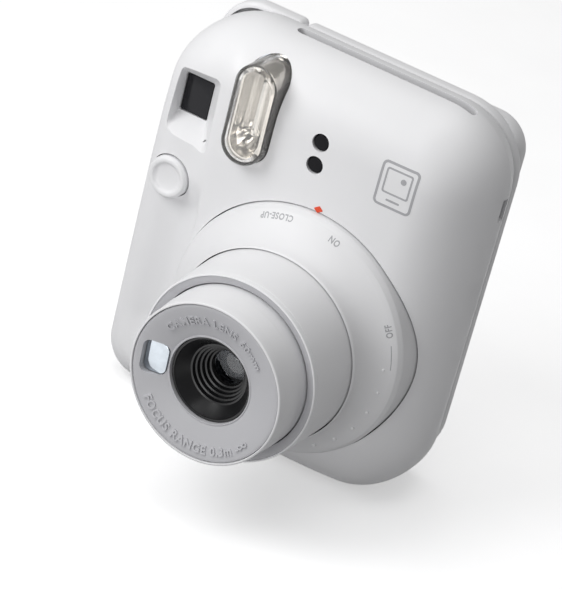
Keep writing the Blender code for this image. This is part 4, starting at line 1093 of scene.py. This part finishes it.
def lens_well(rings, steps):
    """The black well: a glossy cone, then baffle rings that step in towards the lens."""
    inner = [(12.3, 28.05), (11.75, 28.05), (11.55, 27.6)]
    inner += [(8.9, 24.0)]
    r, h = 8.9, 24.0
    step_r, step_h = (8.9 - 5.0) / rings, (24.0 - 17.7) / rings
    for _ in range(rings):
        inner += [(r - 0.62 * step_r, h - 0.12 * step_h), (r - step_r, h - 0.95 * step_h),
                  (r - step_r, h - step_h)]
        r, h = r - step_r, h - step_h
    outer = [(6.6, 17.5), (8.3, 17.5), (8.3, 13.5), (13.6, 13.5), (13.6, 22.4), (12.3, 22.4)]
    return turned("lens_well_rings", inner + outer, steps)


def lens_dome(name, radius, top, curve, thickness, steps, edge=0.3):
    line = []
    for i in range(21):
        r = radius * i / 20.0
        line.append((r, top - (curve - math.sqrt(curve ** 2 - r ** 2))))
    low = line[-1][1] - thickness
    return turned(name, line + [(radius, low + edge), (radius - edge, low), (0.0, low)], steps)


class CAMERA_OT_lens(bpy.types.Operator):
    """Build the lens well and the glass inside it"""
    bl_idname = "camera_finish.lens"
    bl_label = "Lens"

    def execute(self, context):
        lens = context.scene.camera_lens
        finished(lens_well(lens.well_rings, 144), "front_barrel", "black_plastic", look("well"), "lens_well",
                 angle=math.radians(20.0))
        finished(lens_dome("front_lens_glass", 7.7, 17.2, 11.0, 1.0, 96), "front_barrel", "optical_glass",
                 look("glass"), "front_lens")
        return {"FINISHED"}


# ---- flash ---------------------------------------------------------------------------------------
def flash_cover(settings):
    middle, wall = (FLASH_X, FLASH_Z), settings.wall / MM
    full = stadium(FLASH_W, FLASH_H, middle)
    layers = [(inset_outline(full, 1.9), FLASH_FRONT_D), (inset_outline(full, 1.35), FLASH_FRONT_D + 0.06)]
    for k in range(1, 7):
        angle = math.pi / 2.0 * k / 6
        layers.append((inset_outline(full, 1.3 * (1.0 - math.sin(angle))),
                       FLASH_FRONT_D + 0.1 + 1.6 * (1.0 - math.cos(angle))))
    layers.append((full, FLASH_BACK_D))
    cover = loft("flash_cover_clear", layers)
    inside = stadium(FLASH_W - 2 * wall, FLASH_H - 2 * wall, middle)
    hollow = loft("cut", [(inset_outline(inside, 0.8), FLASH_FRONT_D + wall),
                          (inside, FLASH_FRONT_D + wall + 0.8), (inside, FLASH_BACK_D + 2.0)])
    combined(cover, [hollow], "DIFFERENCE")
    ribs, finish = settings.ribs, look("clear")
    reach = FLASH_H - 9.0
    bars = arrayed(rib_profile("rib", HALF_ROUND), array_tree("rib row"), Count=ribs,
                   Start=Vector((FLASH_X, depth(FLASH_FRONT_D + wall - 0.05), FLASH_Z - reach / 2)) * MM,
                   Step=Vector((0.0, 0.0, reach / (ribs - 1))) * MM,
                   Size=Vector((FLASH_W - 5.2, settings.rib_height / MM, 0.62 * reach / ribs)) * MM,
                   Finish=finish)
    return combined(cover, [bars], "UNION")


def reflector_bowl():
    """The faceted metal bowl behind the window."""
    middle = (FLASH_X, FLASH_Z)
    outer = stadium(FLASH_W - 3.0, FLASH_H - 3.0, middle, 12)
    bowl = plate("flash_reflector_bowl", outer, FLASH_FRONT_D + 3.2, FLASH_BACK_D - 0.8)
    mouth = stadium(FLASH_W - 3.9, FLASH_H - 3.9, middle, 4)
    layers = []
    for part, wobble in ((-0.1, 0.0), (0.0, 0.0), (0.3, 0.5), (0.62, -0.4), (1.0, 0.2)):
        level = FLASH_FRONT_D + 3.2 + part * 8.4
        width = 1.0 - 0.62 * max(part, 0.0) ** 1.6
        height = 1.0 - 0.30 * max(part, 0.0) ** 1.3
        ring = []
        for i, (x, z) in enumerate(mouth):
            sway = wobble * math.sin(i * 2.4)
            ring.append((middle[0] + (x - middle[0]) * width, middle[1] + (z - middle[1]) * height + sway))
        layers.append((ring, level))
    return combined(bowl, [loft("cut", layers)], "DIFFERENCE")


class CAMERA_OT_flash(bpy.types.Operator):
    """Build the clear flash window, its ribs, the faceted reflector and the tube"""
    bl_idname = "camera_finish.flash"
    bl_label = "Flash"

    def execute(self, context):
        settings = context.scene.camera_flash
        finished(flash_cover(settings), "camera_body", "clear_plastic", look("clear"), "flash_cover")
        finished(reflector_bowl(), "camera_body", "reflector", look("reflector"), "flash_reflector",
                 angle=math.radians(3.0))
        level = FLASH_BACK_D - 5.2
        profile = filleted([(0.0, 8.6), (1.3, 8.6, 0.4), (1.3, -8.6, 0.4), (0.0, -8.6)])
        tube = turned("flash_tube_glass", profile, 32, (FLASH_X, depth(level), FLASH_Z), (0.0, 0.0, 1.0))
        finished(tube, "camera_body", "clear_plastic", look("tube"), "flash_tube")
        return {"FINISHED"}


# ---- small pieces on the front -------------------------------------------------------------------
def box_mm(name):
    low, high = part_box(name)
    return Vector(low) / MM, Vector(high) / MM


class CAMERA_OT_controls(bpy.types.Operator):
    """Build the shutter button, the sensors and the viewfinder window"""
    bl_idname = "camera_finish.controls"
    bl_label = "Controls"

    def execute(self, context):
        low, high = box_mm("shutter_button")
        top, bottom = -low.y, -high.y
        profile = filleted([(0.0, top - 1.15), (3.0, top - 1.1), (4.0, top - 0.85, 1.2),
                            (4.75, top - 0.02, 0.8), (5.7, top - 0.02, 0.7), (BUTTON_R, top - 1.0, 0.8),
                            (BUTTON_R, bottom), (0.0, bottom)], segments=8)
        button = turned("shutter_button_dished", profile, 96, (BUTTON_X, 0.0, BUTTON_Z))
        finished(button, "shutter_button", "white_plastic", look("white"), "shutter_button")
        for name, z in zip(("sensor_window_upper", "sensor_window_lower"), SENSOR_Z):
            low, high = box_mm(name)
            top, bottom = -low.y, -high.y
            window = turned(name + "_dark", filleted(
                [(0.0, top), (SENSOR_R - 0.4, top - 0.03, 0.3), (SENSOR_R, top - 0.4, 0.2),
                 (SENSOR_R, bottom), (0.0, bottom)]), 64, (SENSOR_X, 0.0, z))
            finished(window, "camera_body", "dark_window", look("window"), name)
        pane = plate("finder_window_smoked", rounded_box(FINDER_W, FINDER_H, (FINDER_X, FINDER_Z), 0.5),
                     FINDER_D, FINDER_D + 1.4, 0.12, 2)
        finished(pane, "camera_body", "clear_plastic", look("finder"), "finder_window")
        return {"FINISHED"}


class CAMERA_OT_eyecup(bpy.types.Operator):
    """Build the soft eyecup and the eyepiece lens"""
    bl_idname = "camera_finish.eyecup"
    bl_label = "Eyecup"

    def execute(self, context):
        spot = (EYECUP_X, depth(0.0), EYECUP_Z)
        cup = turned("eyecup_soft", filleted(
            [(7.8, -44.6), (9.0, -44.6, 0.2), (9.0, -50.3, 0.3), (11.5, -50.35, 0.6), (12.0, -53.5, 1.0),
             (11.7, -57.4, 0.6), (11.0, -58.0, 0.5), (10.3, -57.6, 0.4), (9.2, -55.2, 0.8),
             (7.8, -54.6, 0.4)], True),
            96, spot)
        finished(cup, "camera_body", "black_rubber", look("rubber"), "eyecup")
        eyepiece = turned("finder_eyepiece_lens", [(0.0, -52.0), (3.0, -51.9), (5.0, -51.65), (7.0, -51.2),
                                                   (7.4, -50.9), (7.4, -49.2), (0.0, -49.0)], 64, spot)
        finished(eyepiece, "camera_body", "clear_plastic", look("glass"), "finder_eyepiece")
        return {"FINISHED"}


# ---- the back ------------------------------------------------------------------------------------
def back_outline(left, right, low, high, corners):
    """A back panel's outline; corners are its radii: low left, low right, high right, high left."""
    return filleted([(left, low, corners[0]), (right, low, corners[1]), (right, high, corners[2]),
                     (left, high, corners[3])], True, 12)


def film_door():
    inset = SEAM_INSET + 0.15
    right, low, high = BODY_W / 2 - inset, FOOT_H + inset, BODY_TOP - inset
    outline = back_outline(DOOR_LEFT_X, right, low, high,
                           (2.4, CORNERS["bottom_right"] - inset, CORNERS["top_right"] - inset, 2.4))
    door = plate("film_door_shell", outline, DOOR_FRONT_D, BACK_D, 1.9, 6)
    swell = back_outline(DOOR_LEFT_X + 1.5, HUMP_RIGHT, HUMP_LOW_Z, HUMP_HIGH_Z, (4.0, 6.0, 12.0, 4.0))
    hump = plate("hump", swell, 47.0, HUMP_D, 3.2, 8)
    combined(door, [hump], "UNION")
    inner = back_outline(DOOR_LEFT_X + 2.6, 43.8, low + 3.1, high - 3.1, (1.0, 14.0, 15.0, 1.0))
    cuts = [
        plate("cut", inner, SEAM_D - 3.0, BACK_D - 1.6),
        plate("cut", back_outline(DOOR_LEFT_X + 4.0, 43.0, HUMP_LOW_Z + 2.4, HUMP_HIGH_Z - 3.0, (1.0,) * 4),
              SEAM_D - 2.0, HUMP_D - 2.2),
        plate("cut", rounded_box(6.6, 20.6, PACK_WINDOW, 1.6), SEAM_D - 3.0, BACK_D + 3.0),
        plate("cut", rounded_box(5.7, 17.7, (-20.0, 63.5), 0.6), BACK_D - 1.35, BACK_D + 3.0),
    ]
    groove_out = rounded_box(58.0, 78.0, (9.5, 50.0), 6.0, 10)
    groove_in = rounded_box(57.0, 77.0, (9.5, 50.0), 5.5, 10)
    groove = combined(plate("cut", groove_out, BACK_D - 0.5, BACK_D + 2.0),
                      [plate("keep", groove_in, BACK_D - 2.0, BACK_D + 3.0)], "DIFFERENCE")
    return combined(door, cuts + [groove], "DIFFERENCE")


def rear_cover():
    low, high = FOOT_H + SEAM_INSET, BODY_TOP - SEAM_INSET
    left, right = -BODY_W / 2 + SEAM_INSET, DOOR_LEFT_X - GAP
    outline = back_outline(left, right, low, high, (CORNERS["bottom_left"] - SEAM_INSET, 2.0, 2.0,
                                                    CORNERS["top_left"] - SEAM_INSET))
    cover = plate("rear_cover_shell", outline, DOOR_FRONT_D, BACK_D, 1.5, 5)
    spot = (EYECUP_X, depth(0.0), EYECUP_Z)
    cuts = [
        plate("cut", back_outline(left + 1.6, right - 1.6, low + 1.6, high - 1.6, (8.0, 1.0, 1.0, 20.0)),
              SEAM_D - 3.0, BACK_D - 1.2),
        turned("cut", [(0.0, -40.0), (9.3, -40.0), (9.3, -54.0), (0.0, -54.0)], 64, spot),
        turned("cut", [(0.0, -40.0), (3.5, -40.0), (3.5, -49.6), (4.3, -50.4), (4.3, -54.0),
                       (0.0, -54.0)], 48,
               (COUNTER_X, depth(0.0), COUNTER_Z)),
        plate("cut", back_outline(-60.0, BATTERY_DOOR_RIGHT + GAP, BATTERY_DOOR_LOW - GAP,
                                  BATTERY_DOOR_HIGH + GAP, (0.1,) * 4), SEAM_D - 4.0, BACK_D + 4.0),
    ]
    return combined(cover, cuts, "DIFFERENCE")


def battery_door():
    outline = back_outline(-BODY_W / 2 + SEAM_INSET + 0.15, BATTERY_DOOR_RIGHT, BATTERY_DOOR_LOW,
                           BATTERY_DOOR_HIGH, (7.2, 1.6, 1.6, 1.6))
    door = plate("battery_door_shell", outline, DOOR_FRONT_D, BACK_D, 1.1, 6)
    ribs = arrayed(rib_profile("rib", HALF_ROUND), array_tree("rib row"), Count=6,
                   Start=Vector((-37.0, depth(BACK_D - 0.1), 50.5)) * MM, Step=Vector((0.0, 0.0, 1.7)) * MM,
                   Size=Vector((11.0, 0.55, 1.0)) * MM, Finish=look("white"))
    combined(door, [ribs], "UNION")
    inside = back_outline(-45.0, -28.5, 9.6, 62.4, (4.0, 0.5, 0.5, 0.5))
    arrow = loft("cut", [([(-38.8, 47.4), (-35.2, 47.4), (-37.0, 44.6)], BACK_D - 0.35),
                         ([(-38.8, 47.4), (-35.2, 47.4), (-37.0, 44.6)], BACK_D + 2.0)])
    return combined(door, [plate("cut", inside, SEAM_D - 3.0, BACK_D - 1.1), arrow], "DIFFERENCE")


def flat_text(name, text, size, thickness, x, y_mm, z, turn=0.0):
    """Raised text on the back, read from behind."""
    points, faces = letters(text, size, thickness)
    cos, sin = math.cos(turn), math.sin(turn)
    across_x = cos * points[:, 0] - sin * points[:, 1]
    up = sin * points[:, 0] + cos * points[:, 1]
    placed = np.stack([x - across_x, y_mm + points[:, 2], z + up], 1)
    return outward(mesh_piece(name, placed, faces))


class CAMERA_OT_back(bpy.types.Operator):
    """Build the film door, rear cover, battery door and the windows in them"""
    bl_idname = "camera_finish.back"
    bl_label = "Back"

    def execute(self, context):
        finished(film_door(), "film_door", "white_plastic", look("white"), "film_door")
        finished(rear_cover(), "camera_body", "white_plastic", look("white"), "rear_cover")
        finished(battery_door(), "battery_door", "white_plastic", look("white"), "battery_door")
        pane = plate("pack_window_amber", rounded_box(6.0, 20.0, PACK_WINDOW, 1.3), BACK_D - 1.4,
                     BACK_D - 0.35, 0.15, 2)
        finished(pane, "film_door", "clear_plastic", look("gauge"), "pack_window")
        low, high = box_mm("door_latch")
        middle = ((low.x + high.x) / 2, (low.z + high.z) / 2)
        latch = plate("door_latch_ribbed", rounded_box(high.x - low.x, high.z - low.z, middle, 0.9),
                      BACK_D - 1.0, BACK_D + 0.5, 0.35, 3)
        ribs = arrayed(rib_profile("rib", HALF_ROUND), array_tree("rib row"), Count=6,
                       Start=Vector((middle[0], depth(BACK_D + 0.45), middle[1] - 4.0)) * MM,
                       Step=Vector((0.0, 0.0, 1.6)) * MM, Size=Vector((3.6, 0.42, 0.9)) * MM,
                       Finish=look("white"))
        combined(latch, [ribs], "UNION")
        finished(latch, "door_latch", "white_plastic", look("white"), "door_latch")
        counter = turned("counter_window_clear", filleted([(0.0, -49.2), (3.1, -49.2), (3.2, -49.9, 0.2),
                                                          (2.4, -50.15, 0.6), (0.0, -50.2)]), 48,
                         (COUNTER_X, depth(0.0), COUNTER_Z))
        finished(counter, "camera_body", "clear_plastic", look("tube"), "counter_window")
        number = flat_text("counter_number", "8", 3.6, 0.1, COUNTER_X, depth(BACK_D - 2.35), COUNTER_Z)
        finished(number, "counter_wheel", "black_plastic", look("black"))
        return {"FINISHED"}


# ---- slot, strap bar and feet --------------------------------------------------------------------
class CAMERA_OT_trim(bpy.types.Operator):
    """Build the print slot, the strap bar and the rubber feet"""
    bl_idname = "camera_finish.trim"
    bl_label = "Slot and Feet"

    def execute(self, context):
        low, high = box_mm("exit_trim")
        outer = rounded_box(high.x - low.x, 6.4, (LENS_X, 0.0), 0.7)
        slot = rounded_box(SLOT_L, SLOT_T, (LENS_X, 0.0), 0.6)
        wide = rounded_box(SLOT_L + 1.0, SLOT_T + 1.0, (LENS_X, 0.0), 0.9)
        top = BODY_TOP - 2.8
        layers_out = [(outer, low.z), (outer, top)]
        layers_in = [(slot, low.z - 3.0), (slot, top - 0.6), (wide, top - 0.1), (wide, top + 2.0)]
        trim = combined(upright("exit_trim_slot", layers_out), [upright("cut", layers_in)], "DIFFERENCE")
        # The slot trim takes the same grey, darkened as painted shade.
        finished(trim, "camera_body", "white_plastic", look("shadow grey"), "exit_trim")
        strip = rounded_box(SLOT_L - 0.6, SLOT_T - 0.5, (LENS_X, 0.0), 0.4)
        flap = upright("exit_light_flap", [(strip, top - 1.4), (strip, top - 0.8)])
        finished(flap, "camera_body", "black_plastic", look("black"))
        for name in ("foot_front_left", "foot_front_right", "foot_rear_left", "foot_rear_right"):
            low, high = box_mm(name)
            spot = ((low.x + high.x) / 2, (low.y + high.y) / 2, 0.0)
            radius = (high.x - low.x) / 2
            profile = filleted([(0.0, high.z), (radius, high.z), (radius, low.z, 0.5), (0.0, low.z)])
            foot = turned(name + "_pad", profile, 40, spot, (0.0, 0.0, 1.0))
            finished(foot, "camera_body", "black_rubber", look("rubber"), name)
        low, high = box_mm("strap_bar")
        bar = turned("strap_bar_round", [(0.0, high.z), (0.9, high.z), (0.9, low.z), (0.0, low.z)], 32,
                     ((low.x + high.x) / 2, (low.y + high.y) / 2, 0.0), (0.0, 0.0, 1.0))
        finished(bar, "camera_body", "steel", look("turned steel"), "strap_bar")
        return {"FINISHED"}


def upright(name, layers):
    """A closed piece through (x, depth offset) outlines stacked along Z, about the print slot."""
    points, faces = [], []
    count = len(layers[0][0])
    for outline, z in layers:
        points += [(x, depth(SLOT_D) + d, z) for x, d in outline]
    for layer in range(len(layers) - 1):
        for i in range(count):
            j = (i + 1) % count
            a, b = layer * count, (layer + 1) * count
            faces.append((a + i, a + j, b + j, b + i))
    last = (len(layers) - 1) * count
    faces += [tuple(range(count)), tuple(last + i for i in reversed(range(count)))]
    return outward(mesh_piece(name, points, faces))


# ---- the frame's own pieces ----------------------------------------------------------------------
KEPT_LOOKS = {
    "black": ("chamber_frame", "light_baffle", "lens_guide", "finder_tube", "shutter_plate", "lens_cell",
              "shutter_switch", "flash_capacitor", "shutter_blade_left", "shutter_blade_right"),
    "rubber": ("film_roller_front", "film_roller_rear"),
    "nylon": ("roller_gear_front", "roller_gear_rear", "idler_gear", "counter_wheel"),
    "steel": ("drive_motor", "contact_lower", "contact_upper", "pressure_pad_lower", "pressure_pad_upper",
              "film_claw"),
    "turned steel": ("drive_pinion", "idler_pin"),
    "board": ("circuit_board",),
    "cell": ("cell_front", "cell_rear"),
    "glass": ("rear_lens",),
}


class CAMERA_OT_inside(bpy.types.Operator):
    """Paint the pieces inside the camera"""
    bl_idname = "camera_finish.inside"
    bl_label = "Inside"

    def execute(self, context):
        for key, names in KEPT_LOOKS.items():
            for name in names:
                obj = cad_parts[name]
                if not obj.material_slots:
                    obj.data.materials.append(look(key))
                for slot in obj.material_slots:
                    slot.material = look(key)
        return {"FINISHED"}


# ---- stage ---------------------------------------------------------------------------------------
def area_light(name, place, aim, size, power, colour=(1.0, 1.0, 1.0)):
    data = bpy.data.lights.new(name, "AREA")
    data.shape = "DISK"
    data.size = size
    data.energy = power
    data.color = colour
    obj = link(name, data)
    obj.location = place
    obj.rotation_euler = (Vector(aim) - Vector(place)).to_track_quat("-Z", "Y").to_euler()
    obj.visible_camera = False
    return obj


def floor_finish(settings):
    """Pale paper that throws little light back at the object."""
    mat = moulded("floor paper", tuple(settings.floor), (0.7, 0.85), 400.0, 0.01, 0.0, 0.2)
    tree = mat.node_tree
    shader, out = tree.nodes["Principled BSDF"], tree.nodes["Material Output"]
    shader.inputs["Emission Color"].default_value = (1.0, 1.0, 1.0, 1.0)
    shader.inputs["Emission Strength"].default_value = 0.42
    dim = node(tree, "ShaderNodeBsdfDiffuse", in_Color=(*settings.bounce, 1.0))
    mix = tree.nodes.new("ShaderNodeMixShader")
    tree.links.new(tree.nodes.new("ShaderNodeLightPath").outputs["Is Diffuse Ray"], mix.inputs["Fac"])
    tree.links.new(shader.outputs["BSDF"], mix.inputs[1])
    tree.links.new(dim.outputs["BSDF"], mix.inputs[2])
    tree.links.new(mix.outputs["Shader"], out.inputs["Surface"])
    return mat


class CAMERA_OT_stage(bpy.types.Operator):
    """Set the floor, the lights and the camera"""
    bl_idname = "camera_finish.stage"
    bl_label = "Stage"

    def execute(self, context):
        settings = context.scene.camera_stage
        bm = bmesh.new()
        bmesh.ops.create_circle(bm, cap_ends=True, segments=96, radius=6.0)
        mesh = bpy.data.meshes.new("floor")
        bm.to_mesh(mesh)
        bm.free()
        floor = link("floor", mesh)
        floor.data.materials.append(floor_finish(settings))
        world = bpy.data.worlds.new("studio")
        world.use_nodes = True
        backdrop = world.node_tree.nodes["Background"]
        backdrop.inputs["Color"].default_value = (1.0, 1.0, 1.0, 1.0)
        backdrop.inputs["Strength"].default_value = settings.fill
        context.scene.world = world
        middle = (0.0, 0.0, 0.06)
        area_light("key", (-0.22, -0.24, 0.33), middle, 0.26, settings.key)
        area_light("top", (-0.1, 0.1, 1.8), middle, 1.5, settings.top)
        area_light("front", (0.05, -0.95, 0.12), middle, 0.5, settings.front)
        data = bpy.data.cameras.new("camera")
        data.lens = settings.lens
        data.sensor_width = 36.0
        data.clip_start = 0.01
        view = link("camera", data)
        view.location = (0.29795, -0.68713, 0.45360)
        view.rotation_euler = [math.radians(a) for a in (61.119, -13.028, 30.245)]
        context.scene.camera = view
        context.scene.view_settings.view_transform = "Standard"
        return {"FINISHED"}


# ---- add-on --------------------------------------------------------------------------------------
OPERATORS = (CAMERA_OT_stage, CAMERA_OT_front_housing, CAMERA_OT_twist_ring, CAMERA_OT_barrels,
             CAMERA_OT_lens_face, CAMERA_OT_lens, CAMERA_OT_flash, CAMERA_OT_controls, CAMERA_OT_eyecup,
             CAMERA_OT_back, CAMERA_OT_trim, CAMERA_OT_inside)
SETTINGS = {"camera_housing": HousingSettings, "camera_lens": LensSettings, "camera_flash": FlashSettings,
            "camera_stage": StageSettings}


class CAMERA_PT_finish(bpy.types.Panel):
    """Lists the pieces of the camera and their settings"""
    bl_idname = "CAMERA_PT_finish"
    bl_label = "Instant Camera"
    bl_space_type = "VIEW_3D"
    bl_region_type = "UI"
    bl_category = "Instant Camera"

    def draw(self, context):
        for key, group in SETTINGS.items():
            box = self.layout.box()
            box.label(text=group.__doc__)
            for name in group.__annotations__:
                box.prop(getattr(context.scene, key), name)
        for operator in OPERATORS:
            self.layout.operator(operator.bl_idname)


def register():
    for group in SETTINGS.values():
        bpy.utils.register_class(group)
    for key, group in SETTINGS.items():
        setattr(bpy.types.Scene, key, bpy.props.PointerProperty(type=group))
    for cls in (*OPERATORS, CAMERA_PT_finish):
        bpy.utils.register_class(cls)


def unregister():
    for cls in (CAMERA_PT_finish, *reversed(OPERATORS)):
        bpy.utils.unregister_class(cls)
    for key, group in SETTINGS.items():
        delattr(bpy.types.Scene, key)
        bpy.utils.unregister_class(group)


def main():
    register()
    for operator in OPERATORS:
        getattr(bpy.ops.camera_finish, operator.bl_idname.split(".")[1])()


if __name__ == "__main__":
    main()
